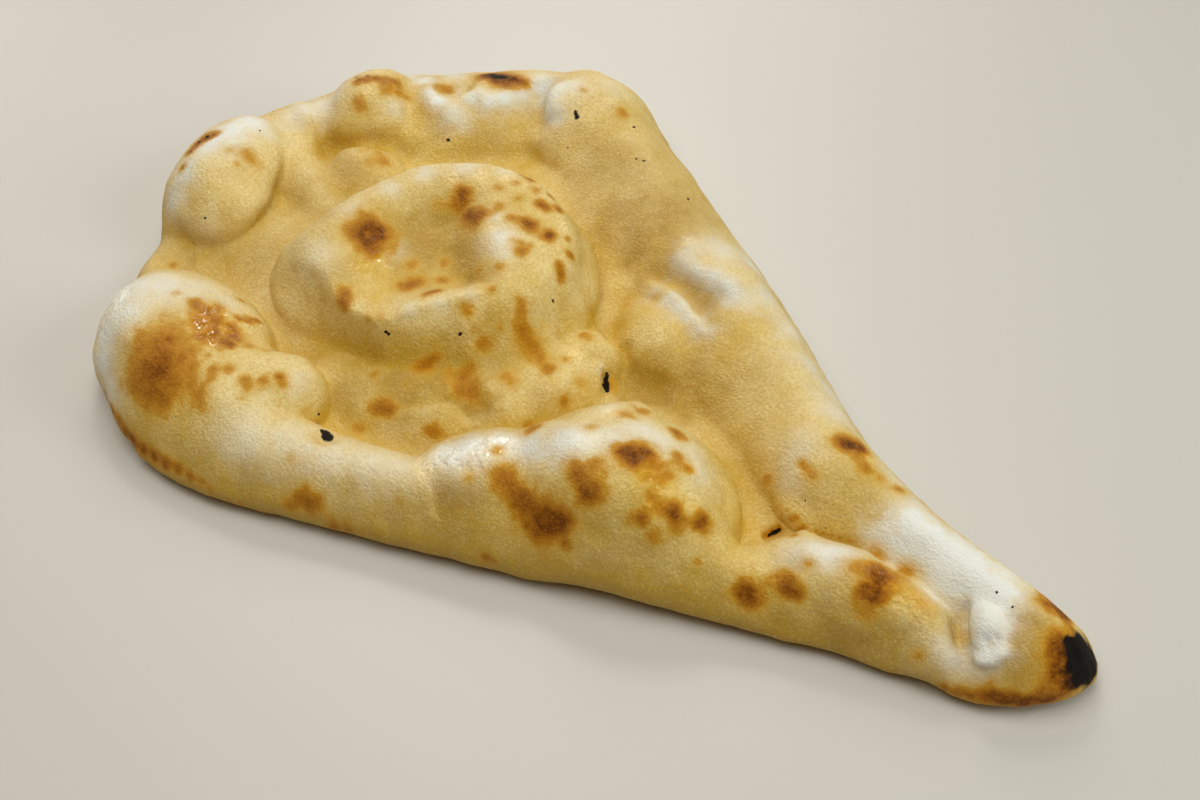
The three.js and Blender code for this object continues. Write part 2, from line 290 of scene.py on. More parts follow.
# Each random form has a seed of its own, counted up from here.
SEED = 7
SEEDS = {"swells": 1, "ragged": 11, "lumps": 21, "char": 24, "blister_groups": 31, "blisters": 32}

# Random swells of the dough, and the lumps that bubbling leaves on its skin: size and height.
SWELLS = [(34, 0.9), (15, 0.5)]
LUMPS = [(13, 0.55), (6.5, 0.45), (3.2, 0.20)]
LUMPS_HIGH, LUMPS_SUNKEN = 0.75, 0.5  # their strength on high skin, and how much sunken skin adds
LUMPS_UNDER = 6.0  # how far in from the edge they fade out under the bread
CHAR_LUMP, CHAR_DEPTH = 3.4, 0.7  # size of the pits in charred skin, and how deep it shrinks


# ---------------------------------------------------------------- marks of the oven, and painted shade and highlight

# Baked spots, each a pixel of the view, a radius in millimetres and how dark it is baked.
BAKED = {
    "near_lobe": [
        (158, 342, 9, .52), (150, 362, 10, .55), (160, 378, 10, .57), (172, 362, 9, .52),
        (158, 396, 8, .52), (138, 378, 7, .5), (178, 342, 6, .4), (170, 326, 6, .35), (190, 374, 5, .4),
        (155, 368, 6, .55), (197, 394, 4, .5), (200, 405, 3.5, .45), (194, 304, 3.4, .6),
        (204, 311, 4, .7), (200, 322, 3.4, .8), (215, 320, 3.5, .85), (200, 336, 2.5, .7),
        (213, 334, 3.4, .85), (222, 342, 3, .8), (232, 327, 2.4, .9), (232, 336, 3, 1),
        (230, 345, 2.4, .9), (238, 318, 2, .7), (218, 308, 3, .7), (241, 300, 2.2, .5),
        (249, 320, 2.4, .9), (256, 321, 1.8, .7), (250, 345, 2.5, .35), (266, 350, 2, .4),
        (213, 370, 2.2, .6), (212, 378, 2.2, .45), (228, 370, 2.2, .55), (245, 380, 2.6, .6),
        (247, 388, 1.8, .5), (262, 380, 2.4, .65), (279, 377, 2.4, .75), (281, 384, 1.8, .5),
        (246, 347, 1.8, .4), (305, 412, 2.6, .3), (220, 350, 1.8, .35), (206, 356, 1.8, .4),
        (241, 398, 1.8, .3), (176, 293, 2.5, .3),
    ],
    "near_roll": [
        (298, 498, 4, .6), (306, 503, 4, .7), (315, 502, 3.5, .6), (290, 506, 3.5, .5),
        (306, 489, 2.5, .4), (290, 458, 2.5, .25), (400, 503, 3, .25), (112, 410, 2.4, .6),
        (118, 420, 2.8, .7), (124, 431, 3, .8), (132, 440, 3, .9), (142, 449, 3, .9), (153, 457, 3.2, .9),
        (165, 464, 3, .9), (177, 470, 2.6, .8), (189, 476, 2.6, .7), (202, 482, 2.4, .5),
        (210, 490, 2.2, .5), (240, 505, 2.2, .45), (265, 515, 2.6, .65), (275, 518, 2.6, .6),
        (335, 526, 2.8, .7), (348, 529, 2.6, .7), (362, 532, 2.2, .5),
    ],
    "head": [
        (229, 149, 2.2, .3), (248, 154, 3, .4), (252, 160, 3, .35), (237, 164, 1.6, .35),
        (260, 166, 2, .2), (190, 151, 2.4, 1), (196, 144, 2.6, 1), (204, 138, 2.6, 1),
        (212, 134, 2.4, .9), (181, 167, 1.8, .6), (173, 265, 2.2, .55), (358, 80, 2.6, .8),
        (366, 78, 2.6, .9), (375, 78, 2.6, .9), (386, 80, 3, .75), (396, 82, 3, .7), (386, 88, 3.5, .5),
        (398, 92, 3, .45), (406, 97, 2.6, .45), (361, 106, 3.8, .42), (357, 99, 2.6, .4),
        (383, 161, 3, .55), (378, 152, 2.8, .4), (370, 161, 3.5, .35), (362, 150, 2.4, .35),
        (446, 90, 3.5, .6), (438, 90, 2.6, .4), (472, 88, 2.6, .25), (500, 76, 5, 1), (490, 74, 4, 1),
        (512, 79, 4.4, 1), (522, 82, 3, .8), (505, 83, 4.4, .8), (484, 76, 3, .8), (496, 80, 4, .9),
        (623, 112, 2.6, .5), (583, 90, 1.8, .35), (644, 110, 2, .2),
    ],
    "crown": [
        (369, 234, 5, .95), (366, 226, 6, .75), (371, 243, 6, .8), (360, 236, 5, .6), (378, 236, 5, .7),
        (352, 232, 5, .35), (372, 253, 3.5, .5), (462, 192, 3.6, .9), (463, 200, 3, .75),
        (475, 218, 4.4, .95), (468, 214, 3, .75), (482, 214, 2.6, .6), (455, 204, 3, .5),
        (438, 204, 2.6, .3), (444, 263, 2.4, .55), (412, 265, 2.8, .5), (402, 286, 2.8, .6),
        (410, 285, 3, .75), (419, 282, 2.6, .6), (442, 281, 2.8, .6), (428, 293, 2.6, .7),
        (436, 291, 2.6, .75), (343, 292, 3, .7), (343, 300, 3.2, .8), (344, 307, 2.4, .5),
        (498, 187, 2.8, .4), (498, 206, 2.8, .5), (499, 267, 2.6, .45), (479, 269, 2.4, .35),
        (492, 288, 2.6, .45), (518, 198, 2.4, .4), (511, 217, 2.4, .6), (529, 224, 3.2, 1),
        (523, 220, 2.2, .6), (540, 204, 2.4, .8), (546, 208, 2.4, .8), (559, 209, 2.3, .85),
        (551, 196, 1.8, .6), (549, 235, 2.8, 1), (568, 239, 1.6, .55), (578, 234, 1.5, .5),
        (570, 255, 2.3, .85), (560, 266, 2, .7), (561, 273, 2.1, .85), (561, 280, 1.8, .6),
        (521, 251, 2.8, .75), (520, 243, 2.2, .4), (530, 244, 1.6, .35), (512, 240, 1.6, .3),
        (525, 175, 2.4, .8), (531, 179, 2.2, .85), (516, 182, 2.2, .4), (536, 190, 2, .45),
        (466, 309, 3, .55), (368, 319, 2.2, .35), (379, 317, 2.2, .3),
    ],
    "skirt": [
        (521, 302, 3, .45), (521, 313, 3.2, .5), (520, 325, 3.6, .5), (524, 336, 4.6, .52),
        (532, 345, 4.6, .5), (541, 358, 3.6, .5), (547, 368, 3, .55), (482, 343, 3.4, .55),
        (475, 330, 2.4, .3), (500, 327, 1.8, .4), (427, 364, 3.6, .65), (418, 368, 3, .5),
        (436, 357, 2.6, .5), (462, 377, 4.2, .5), (463, 389, 4.6, .62), (474, 394, 3.6, .5),
        (470, 369, 3.2, .45), (450, 375, 3.6, .4), (374, 374, 2.4, .4), (379, 407, 3.6, .8),
        (390, 410, 2.8, .7), (504, 375, 3.4, .4), (510, 382, 3, .35), (581, 382, 3.4, .3),
        (565, 359, 2, .35), (436, 432, 3.4, .6), (427, 430, 2.4, .5), (359, 428, 2.8, .4),
        (559, 334, 1.6, .3), (583, 334, 2.2, .5), (588, 338, 2.2, .4), (564, 401, 2.4, .55),
        # The two at (611, 382) and (613, 388) are painted shadow in the tear.
        (611, 382, 2.2, .35), (613, 388, 2.4, .35), (626, 305, 3, .3), (629, 297, 2.4, .25),
        (656, 297, 2, .3), (405, 385, 2.2, .25),
    ],
    "near_bubble": [
        (533, 428, 3.2, .65), (527, 426, 2.4, .5), (624, 454, 4, .85), (633, 454, 4.6, 1),
        (644, 454, 4, .9), (633, 463, 4, .75), (653, 465, 4, .55), (667, 474, 4, .5), (678, 456, 2.4, .5),
        (687, 469, 2.4, .6), (680, 463, 2, .5), (676, 432, 3, .7), (680, 438, 2.4, .5),
        (497, 451, 3, .35), (595, 465, 3, .5), (577, 473, 4, .75), (582, 483, 4, .7), (588, 496, 5, .7),
        (594, 491, 4, .65), (504, 475, 4.4, .7), (510, 489, 4.8, .72), (521, 500, 4.8, .75),
        (533, 510, 5.4, .75), (546, 514, 6, .78), (559, 519, 5.4, .85), (544, 525, 6, .95),
        (537, 534, 4.6, .7), (555, 528, 4.8, .8), (568, 546, 2.8, .4), (486, 558, 2.6, .55),
        (493, 562, 2.2, .45), (468, 478, 2.6, .3), (651, 496, 2.8, .5), (641, 518, 3.4, .75),
        (673, 511, 3.8, .9), (676, 519, 3.2, .8), (702, 522, 3.6, 1), (653, 538, 3.2, .45),
        (680, 528, 4, .35), (698, 562, 2, .35), (662, 480, 4, .4), (645, 478, 3, .35),
        (624, 415, 2.8, .45), (642, 412, 2.8, .5), (632, 417, 2.4, .35), (592, 426, 2.4, .35),
        (660, 500, 2.6, .35),
    ],
    "neck": [
        (748, 595, 4.6, .95), (744, 590, 3.4, .6), (755, 601, 3.2, .75), (790, 589, 4, .75),
        (785, 583, 3.4, .6), (797, 595, 3.2, .65), (809, 564, 2.4, .35), (852, 566, 5, .25),
        (865, 570, 4.6, .45), (878, 573, 4.6, .8), (884, 578, 4, .8), (896, 576, 5.4, .5),
        (907, 573, 3.2, .5), (870, 592, 4.2, 1), (875, 598, 3.8, .8), (864, 590, 4, .5),
        (867, 610, 4.6, .45), (911, 591, 6, .28), (931, 606, 5, .24), (879, 555, 3.2, .35),
        (919, 656, 2.8, .35), (845, 443, 3.6, 1), (852, 444, 4.2, 1), (860, 447, 3.8, 1),
        (865, 451, 2.4, .55), (867, 469, 2.8, .6), (862, 463, 2.2, .4), (900, 490, 2.8, .5),
        (768, 479, 3, .4), (803, 463, 2, .4), (812, 475, 2.8, .45), (807, 469, 2, .35), (891, 464, 3, .4),
        (880, 478, 4, .3), (781, 508, 2, .3), (794, 519, 2, .5), (801, 530, 1.8, .6), (795, 536, 1.6, .5),
        # From here on to (850, 541), and at (766-780, 528-535), these are painted shade along the seam and
        # in the slit under the flap.
        (810, 531, 1, .55), (817, 532, 1, .5), (824, 534, 1, .5), (832, 536, 1, .45), (840, 539, 1, .45),
        (850, 541, 1, .4), (766, 535, 1.4, .6), (773, 532, 1.6, .8), (780, 528, 1.4, .7),
        (777, 506, 1, .4), (787, 510, 1, .4), (796, 518, 1.2, .5), (804, 527, 1.2, .55),
    ],
    "tip": [
        (1046, 597, 3, .9), (1053, 603, 3.8, 1), (1060, 610, 3.8, 1), (1066, 617, 3.2, 1),
        (1050, 606, 3.4, .8), (1040, 602, 2.6, .3), (1061, 643, 4.4, .95), (1064, 659, 5, 1),
        (1070, 674, 5, 1), (1074, 685, 4.4, 1), (1060, 680, 5, .7), (1072, 631, 3.4, .5),
        (985, 697, 3.4, .85), (997, 699, 3.8, 1), (1008, 701, 3.8, 1), (1018, 702, 3.8, 1),
        (1030, 702, 3.8, 1), (1045, 702, 3.4, .9), (1055, 698, 3.6, .85), (900, 674, 1.8, .5),
        (915, 679, 2, .6), (930, 683, 2.2, .7), (945, 688, 2.2, .7), (960, 693, 2.2, .7),
        (972, 696, 2.6, .7), (1020, 625, 8, .07), (1030, 650, 9, .08), (1035, 675, 9, .12),
        (1005, 690, 7, .16), (1045, 690, 7, .25),
    ],
}

# Charred spots, in the same way.
CHARRED = {
    "head_top": [(494, 74, 3, .8), (503, 76, 3, .8), (486, 73, 2, .6), (512, 78, 2.4, .5)],
    "head_knob": [(357, 76, 2, .6), (366, 75, 2, .6)],
    "near_bubble": [(634, 455, 2.2, .35), (641, 452, 1.6, .3)],
    "neck": [(852, 444, 3, .5)],
    "tip": [
        (1085, 650, 5.4, 1), (1090, 665, 6, 1), (1079, 662, 5.4, 1), (1095, 655, 5, 1), (1092, 676, 5, 1),
        (1075, 650, 3.6, .9), (1071, 641, 2.4, .8), (1084, 640, 3, .8), (1064, 608, 2.4, .6),
        (1069, 614, 2.4, .7), (1080, 684, 3, .8), (1012, 707, 2.4, .4),
    ],
}

# Pale places, in the same way: flour in part, and in part painted highlight, the glare where tops, rims and
# edges catch the light.
FLOUR_AND_GLARE = {
    "near_lobe": [
        (112, 300, 9, .8), (104, 330, 8, .9), (102, 360, 8, .9), (110, 388, 8, .6), (132, 286, 9, .8),
        (126, 312, 9, .8), (190, 296, 6, .5), (170, 290, 7, .6), (160, 282, 9, .6), (195, 284, 8, .4),
        (225, 300, 6, .35), (240, 428, 10, .3), (290, 430, 7, .3), (300, 380, 6, .25),
    ],
    "near_roll": [
        (250, 440, 8, .35), (290, 447, 8, .4), (330, 455, 8, .45), (370, 462, 8, .45), (400, 468, 7, .4),
    ],
    "head": [
        (226, 130, 7, 1), (252, 122, 7, 1), (205, 145, 7, .8), (184, 170, 6, .8), (172, 200, 6, .7),
        (215, 138, 7, .8), (320, 108, 6, .5), (330, 110, 6, .25), (500, 99, 5, .7), (520, 96, 6, .6),
        (395, 108, 4, .4), (424, 80, 4, .9), (431, 90, 4, 1), (438, 99, 4, 1), (470, 98, 3.6, .8),
        (488, 101, 4, 1), (505, 97, 4, .9), (520, 91, 4, .9), (534, 85, 4, .8), (455, 76, 5, .6),
        (540, 78, 5, .6), (410, 76, 4, .6), (455, 92, 5, .4), (452, 112, 5, .7), (462, 122, 4, .5),
        (478, 96, 5, .5), (290, 120, 6, .4), (208, 230, 9, .2), (186, 222, 7, .15),
    ],
    "tear": [(602, 366, 1.2, .4), (600.5, 373, 1.2, .4)],
    "crown": [
        (494, 214, 4, .6), (500, 236, 5, .7), (505, 252, 4, .5), (318, 252, 6, .3), (306, 268, 5, .2),
        (350, 208, 4, .35), (390, 188, 4, .45), (425, 172, 4, .5), (465, 168, 4, .45), (505, 170, 4, .35),
        (410, 308, 3, .35), (440, 303, 3, .35), (470, 296, 3, .3), (395, 250, 4, .3),
    ],
    "far_corner": [
        (546, 86, 4, 1), (545, 97, 4.4, 1), (547, 108, 4.4, 1), (551, 117, 4, .8), (560, 86, 5, .8),
        (550, 95, 5, .8), (552, 112, 5, .6), (575, 88, 6, .4), (610, 86, 6, .3),
    ],
    "far_edge": [
        (655, 108, 6, .5), (675, 140, 6, .5), (693, 170, 6, .55), (712, 200, 6, .6), (732, 232, 7, .65),
        (750, 262, 7, .65), (768, 295, 7, .55), (790, 330, 7, .5), (812, 365, 7, .5), (830, 392, 7, .6),
        (852, 420, 6, .6), (872, 448, 5, .4), (895, 478, 5, .4), (918, 505, 5, .6), (302, 110, 5, .5),
        (320, 102, 5, .5), (336, 92, 5, .5),
    ],
    "hook": [
        (676, 262, 3, .7), (684, 268, 4, .7), (697, 273, 4.5, .8), (712, 279, 5, 1), (726, 287, 5, .9),
        (742, 296, 6, .5), (697, 244, 4, .35), (688, 252, 3, .4), (722, 250, 8, .5), (668, 300, 3.5, .7),
        (678, 307, 4, .8), (688, 316, 4, .7), (698, 328, 3.5, .6), (656, 292, 3.5, .4),
        (710, 330, 3.5, .5),
    ],
    "near_bubble": [
        (445, 452, 6, .9), (470, 445, 6, .9), (500, 442, 6, .9), (530, 442, 6, .8), (565, 438, 6, .7),
        (600, 436, 6, .5), (640, 425, 6, .4), (690, 450, 6, .35), (700, 475, 6, .35), (610, 408, 5, .3),
        (455, 462, 6, .6), (485, 456, 6, .6), (515, 450, 6, .6), (550, 446, 6, .6), (585, 446, 6, .6),
        (620, 440, 6, .7), (660, 440, 6, .6), (565, 443, 7, .6), (535, 450, 6, .6), (640, 432, 6, .6),
    ],
    "neck": [
        (892, 540, 7, .8), (905, 552, 7, .7), (925, 530, 8, .9), (940, 560, 8, .8), (960, 555, 9, .9),
        (975, 580, 9, .9), (990, 600, 8, .9), (984, 625, 7, .9), (992, 656, 4, 1), (982, 658, 4, 1),
        (1003, 650, 3.5, .9), (958, 660, 5, .6), (946, 650, 6, .4), (994, 608, 6.5, 1), (988, 616, 5, 1),
        (990, 628, 5, .9), (1000, 632, 4, .8), (982, 642, 3.4, .8), (986, 600, 5, 1), (955, 575, 9, 1),
        (935, 545, 8, 1), (1002, 590, 7, .9), (915, 530, 7, .8), (975, 560, 7, .8), (1010, 575, 8, .7),
        (980, 672, 6, .4), (910, 515, 6, .7), (836, 412, 8, .5), (860, 424, 6, .5), (800, 450, 7, .35),
        (790, 480, 6, .3), (825, 552, 7, .8), (845, 554, 6, .8), (795, 552, 6, .5), (812, 545, 5, .5),
        (880, 530, 5, .4),
    ],
}

# Golden places, in the same way: butter in part, and in part painted shade in valleys, the crater, the
# pocket, slits and walls turned from the light.
BUTTER_AND_SHADE = {
    "head": [
        (480, 142, 9, .6), (440, 125, 6, .5), (350, 165, 9, .8), (300, 200, 9, .6), (325, 150, 6, .6),
        (260, 255, 10, .4), (330, 215, 5, .4), (408, 150, 5, .4),
    ],
    "far_roll": [
        (640, 170, 14, .5), (670, 210, 17, .95), (640, 245, 10, .9), (620, 215, 11, .8),
        (610, 160, 14, .7), (870, 490, 8, .5), (840, 480, 8, .4), (755, 370, 12, .4), (700, 180, 9, .3),
        (790, 400, 9, .2),
    ],
    "crown": [
        (430, 245, 13, 1), (400, 235, 9, .7), (460, 255, 8, .8), (440, 215, 9, .8), (470, 280, 6, .6),
        (420, 285, 6, .6), (345, 270, 6, .4), (500, 320, 7, .5), (400, 335, 8, .35), (460, 330, 7, .35),
    ],
    "terrace": [
        (440, 372, 9, .8), (478, 392, 7, .8), (420, 375, 10, .85), (400, 395, 9, .8), (450, 385, 9, .8),
        (478, 402, 7, .7), (350, 390, 8, .5), (500, 365, 7, .5), (360, 360, 7, .4), (540, 395, 6, .5),
    ],
    "pocket": [
        (616, 382, 3, 1), (622, 388, 4, 1), (650, 396, 5, 1), (665, 398, 5, 1), (680, 402, 5, 1),
        (640, 393, 4, 1), (632, 380, 6, 1), (622, 395, 5, .9), (645, 395, 6, .9), (690, 370, 12, .6),
        (690, 410, 9, .6), (720, 400, 10, .5), (675, 390, 9, .9), (660, 382, 9, .8), (740, 460, 8, .3),
        (696, 292, 4, .8), (688, 282, 4, .6), (702, 306, 4, .7), (655, 270, 5, .9), (640, 272, 5, .5),
    ],
    "near_side": [
        (300, 478, 8, .4), (350, 492, 8, .5), (400, 505, 8, .55), (200, 458, 8, .4), (250, 475, 8, .45),
        (440, 500, 6, .5), (465, 520, 9, .6), (480, 490, 7, .5), (520, 560, 9, .5), (600, 530, 9, .35),
        (610, 570, 10, .25), (660, 580, 10, .3), (560, 570, 8, .3), (710, 560, 8, .3), (720, 590, 8, .4),
        (450, 500, 8, .8), (456, 484, 7, .6), (870, 640, 9, .8), (840, 630, 8, .6), (780, 620, 9, .6),
        (830, 630, 9, .6), (850, 650, 9, .7), (900, 650, 9, .5), (820, 600, 7, .4), (969, 612, 1.2, .8),
        (968, 622, 1.4, .9), (968, 632, 1.2, .8), (1040, 640, 9, 1), (1022, 668, 9, 1),
        (1014, 625, 5, .7), (1030, 615, 7, .7), (1045, 665, 7, .8), (1024, 645, 8, .9),
        (1030, 688, 8, .8), (940, 665, 8, .4), (970, 685, 6, .5),
    ],
}

# Oily places that glint, in the same way.
OILED = {
    "near_lobe": [
        (108, 308, 8, .5), (102, 336, 8, .5), (120, 292, 7, .5), (203, 322, 5, .9), (217, 314, 5, .9),
        (228, 330, 4, .6), (212, 340, 4, .6), (240, 322, 4, .4),
    ],
    "head": [(366, 92, 4, .5), (396, 90, 4, .7), (358, 153, 5, .5), (372, 148, 4, .5), (430, 104, 4, .5)],
    "crown": [
        (362, 268, 4, .7), (378, 258, 3, .7), (372, 232, 2.5, .9), (386, 270, 3, .5), (452, 178, 4, .5),
        (480, 176, 4, .5), (506, 176, 4, .5), (492, 226, 4, .5), (488, 250, 4, .4), (470, 315, 4, .5),
    ],
    "terrace": [
        (545, 325, 4, .5), (575, 352, 4, .5), (552, 382, 4, .4), (475, 345, 4, .5), (380, 362, 5, .4),
    ],
    "hook": [(640, 268, 4, .5), (690, 240, 4, .5), (622, 222, 5, .4), (655, 208, 4, .4)],
    "near_bubble": [
        (652, 468, 5, .7), (668, 488, 5, .7), (640, 476, 4, .5), (690, 502, 4, .9), (690, 470, 4, .5),
        (652, 508, 4, .5), (486, 448, 6, .9), (430, 462, 6, .8), (468, 462, 5, .9), (448, 456, 5, .9),
        (505, 446, 5, .7), (610, 415, 5, .5), (590, 440, 6, .4),
    ],
    "neck": [
        (880, 585, 4, .8), (896, 594, 5, .8), (912, 602, 5, .8), (926, 612, 4, .6), (868, 566, 4, .4),
        (842, 592, 4, .4), (802, 470, 4, .5), (870, 458, 4, .5), (795, 522, 3, .5),
    ],
}

# The marks, each with its spots and how sharply a spot ends.
MARKS = {
    "baked": (BAKED, 2.2),
    "charred": (CHARRED, 2.5),
    "flour_and_glare": (FLOUR_AND_GLARE, 2.0),
    "butter_and_shade": (BUTTER_AND_SHADE, 2.0),
    "oiled": (OILED, 3.0),
}
GATHER = 2.2  # how little spots that overlap add up
HALO, HALO_WIDTH = 0.35, 1.6  # share of a spot's mark that fades out softly round it, and how wide
SPOT_REACH = 3  # radii after which a spot has run out
RAGGED = [(5.0, 0.26), (2.2, 0.20)]  # the raggedness of a spot's edge: size and strength

# Little black specks, each a pixel of the view and a radius in millimetres.
SPECKS = {
    "head": [(199, 142, 1.0), (207, 137, 1.2), (205, 218, 0.7), (260, 131, 0.6), (475, 72, 0.9)],
    "far_corner": [
        (577, 117, 1.4), (576, 114, 1.2), (575.5, 112, 0.9), (634, 127, 0.9), (636, 159, 0.6),
        (644, 161, 0.6), (448, 140, 0.9), (688, 199, 0.9), (620, 155, 0.5), (568, 148, 0.5),
    ],
    "crown": [(386, 332, 0.8), (387.5, 333, 0.8), (389, 334, 0.8), (460, 334, 0.9), (553, 301, 0.8)],
    # Painted shadow inside the tear.
    "tear": [
        (606.5, 373, 0.8), (606.5, 376, 1.1), (606, 379, 1.3), (606, 382, 1.5), (606, 385, 1.6),
        (606.5, 388, 1.5), (607, 391, 1.1),
    ],
    "near_side": [(326, 434, 2.3), (329, 438, 2.2), (325, 437, 2.0), (322, 431, 1.3), (319, 414, 0.8)],
    # The first seven paint the shadow in the neck's slit.
    "neck": [
        (768, 535.5, 0.7), (770, 534.5, 0.9), (772, 533.5, 1.0), (774, 532.5, 1.0), (776, 531.5, 1.0),
        (778, 530.5, 0.9), (780, 529.5, 0.7), (996, 592, 0.6), (1012, 607, 0.6), (806, 500, 0.5),
        (825, 528, 0.4),
    ],
}
SPECK_JITTER = 1.6  # how ragged a speck is, in millimetres

EDGE_GOLD, EDGE_GOLD_HEIGHT = 0.7, 13.0  # how golden the low edge is, and up to what height
# Painted shade: skin sunken below its surroundings, and walls that turn from facing up, are painted darker
# gold.
SUNKEN_SMOOTHED = 160  # times that the skin is blurred before what is below it counts as sunken
SUNKEN_DEPTH = 8.0  # how far below it is fully sunken
STEEP = (0.8, 0.3)  # how much a wall faces up where it starts to turn golden, and where it is so fully
STEEP_SHADE = 0.35  # how much more golden it is there
UNDER_BAKED = (4.0, 12.0)  # how far in the underside's browning starts, and where it is full

# Random blisters on the sides that the small marks leave bare.
BARE_TURN = 0.15  # how little a side faces the view where blisters start
BARE_FULL = 0.25  # how much less it faces the view where they are full
BARE_EDGE = (30.0, 22.0)  # how far in from the outline they end, and where they are still full
BLISTER_GROUP, BLISTER_GROUPING = 34, 0.5  # size of a group of them, and how strongly they keep together
BLISTERS = [(9, 1.0), (5, 0.2)]  # their size and strength
BLISTER_START, BLISTER_RISE = 0.30, 0.5  # from where in the noise one starts, and how softly
BLISTER_MOST = 0.9  # how dark it gets


# ---------------------------------------------------------------- colours and light

DOUGH_PALE = (0.87, 0.69, 0.29, 1)
# Gold, for painted shade in hollows and on steep walls, and for random patches.
DOUGH_GOLD = (0.70, 0.455, 0.048, 1)
# Darker gold, for butter and for painted shade.
DOUGH_BUTTER_SHADE = (0.46, 0.275, 0.025, 1)
DOUGH_TOAST = (0.60, 0.33, 0.06, 1)
DOUGH_LIT = (0.95, 0.80, 0.42, 1)
# White of the flour, and of the painted glare on the tops and edges.
FLOUR_AND_GLARE_WHITE = (0.91, 0.945, 0.93, 1)
CHAR = (0.012, 0.009, 0.008, 1)
BROWNS = [
    (0.00, (0.72, 0.47, 0.09, 1)),
    (0.25, (0.66, 0.36, 0.035, 1)),
    (0.50, (0.54, 0.235, 0.012, 1)),
    (0.78, (0.37, 0.13, 0.005, 1)),
    (1.00, (0.20, 0.058, 0.004, 1)),
]

# The crust's noises, each with its scale, detail and roughness.
NOISES = {
    "broad": (26, 4, 0.55),
    "patchy": (95, 3, 0.55),
    "mottle": (240, 4, 0.65),
    "grain": (900, 3, 0.7),
    "freckles": (420, 2, 0.5),
    "freckled_places": (38, 3, 0.55),
    "underside": (45, 4, 0.6),
    "oil_film": (300, 2, 0.5),
    "oil_beads": (420, 1, 0.5),
    "gloss": (48, 3, 0.6),
    "skin": (430, 4, 0.65),
    "speck_edge": (500, 2, 0.5),
}

# How a noise or a mark is spread onto another span: from its low and high value, to a low and a high value.
SPANS = {
    "broad_gold": (0.3, 0.7, -0.4, 0.4),
    "patchy_gold": (0.3, 0.7, -0.3, 0.3),
    "hollow_shade_gold": (-0.6, 0.9, 0, 1),
    "butter_shade_mottle": (0.3, 0.7, 0.75, 1.1),
    "freckles": (0.60, 0.72, 0, 1),
    "freckled_places": (0.4, 0.65, 0.05, 0.45),
    "dark_grain": (0.46, 0.66, 0, 0.5),
    "light_grain": (0.46, 0.32, 0, 0.35),
    "underside": (0.42, 0.75, 0, 0.85),
    "baked_mottle": (0.25, 0.75, 0.72, 1.18),
    "baked_grain": (0.3, 0.7, 0.8, 1.15),
    "baked_cover": (0.02, 0.32, 0, 1),
    "char_mottle": (0.3, 0.7, 0.8, 1.3),
    "char_cover": (0.25, 0.7, 0, 1),
    "speck_cover": (0, 0.35, 0, 1),
    "oil_film": (0.50, 0.56, 0, 1),
    "wet": (0, 0.5, 0, 1),
    "gloss": (0.55, 0.70, 0.52, 0.40),
    "beaded": (0.1, 0.6, 0, 1),
    "relief": (0, 0.6, 0.7, 1.0),
}

# The same cover carries the painted glare.
FLOUR_AND_GLARE_COVER = 0.92  # how much of the dough flour hides
WET_ROUGHNESS = 0.18  # roughness under a film of oil
BAKED_DULLNESS = 0.4  # how much rougher baked and charred skin is
BAKED_RELIEF = 0.3  # how much of the rise in relief baked skin has
GRAIN_RELIEF = 0.65  # share of the fine grain in the skin's relief
BEAD_RELIEF = 0.6  # height of the oil's beads, as a share of the relief
RELIEF_DEPTH = 2.0  # millimetres
SPECULAR = 0.38  # strength of the crust's gloss
SOAK, SOAK_REACH = 0.12, 6.0  # share of the light that soaks into the dough, and how far in millimetres
SOAK_COLOURS = (1.0, 0.5, 0.2)  # how far red, green and blue go, as shares of that

SENSOR = 36  # millimetres

# Soft square lights that look at the bread: place and width in metres, watts, colour, and the rays that
# don't see it. The diffuse light comes from above and behind, and the glare from low at the back.
LIGHTS = {
    "back_light": ((-0.75, 0.75, 1.0), 0.7, 4.6, (1.0, 0.96, 0.87), "visible_glossy"),
    "top_light": ((-0.1, -0.2, 1.5), 1.2, 14.5, (1.0, 0.99, 0.92), "visible_glossy"),
    "right_light": ((1.0, 0.6, 0.8), 0.8, 7.6, (0.92, 1.0, 1.0), "visible_glossy"),
    "window_glare": ((-1.2, 0.05, 0.38), 0.6, 5.0, (1.0, 0.97, 0.90), "visible_diffuse"),
    "back_glare": ((-0.9, 0.95, 0.35), 0.6, 4.0, (1.0, 0.97, 0.90), "visible_diffuse"),
    "glints": ((-0.75, 0.55, 1.1), 0.2, 12.0, (1.0, 0.98, 0.88), "visible_diffuse"),
}
ROOM_COLOUR, ROOM_STRENGTH = (1.0, 0.70, 0.35, 1), 0.12
FLOOR_WIDTH = 12  # metres
FLOOR_PAINT = (0.60, 0.585, 0.56, 1)


# ---------------------------------------------------------------- lines and paths

def ramp(value, start, end):
    """How far a value has gone from the start to the end: 0 before it, and 1 past it."""
    return np.clip((value - start) / (end - start), 0, 1)


def smooth_line(points):
    """Places along a smooth curve through the points, and the share of its length run at each."""
    p = np.array(points, float)
    p = np.vstack([2 * p[0] - p[1], p, 2 * p[-1] - p[-2]])
    places = []
    for before, start, end, after in zip(p, p[1:], p[2:], p[3:]):
        steps = (before, start), (start, end), (end, after)
        first, middle, last = (math.dist(*step) ** 0.5 for step in steps)
        ahead = (end - start) / middle
        leave = ((start - before) / first - (end - before) / (first + middle) + ahead) * middle
        arrive = (ahead - (after - start) / (middle + last) + (after - end) / last) * middle
        for t in np.linspace(0, 1, STEPS + 1)[:-1]:
            places.append(
                (2 * t**3 - 3 * t**2 + 1) * start + (t**3 - 2 * t**2 + t) * leave
                + (3 * t**2 - 2 * t**3) * end + (t**3 - t**2) * arrive
            )
    places = np.array(places + [p[-2]])
    run = run_along(places)
    return places, run / run[-1]


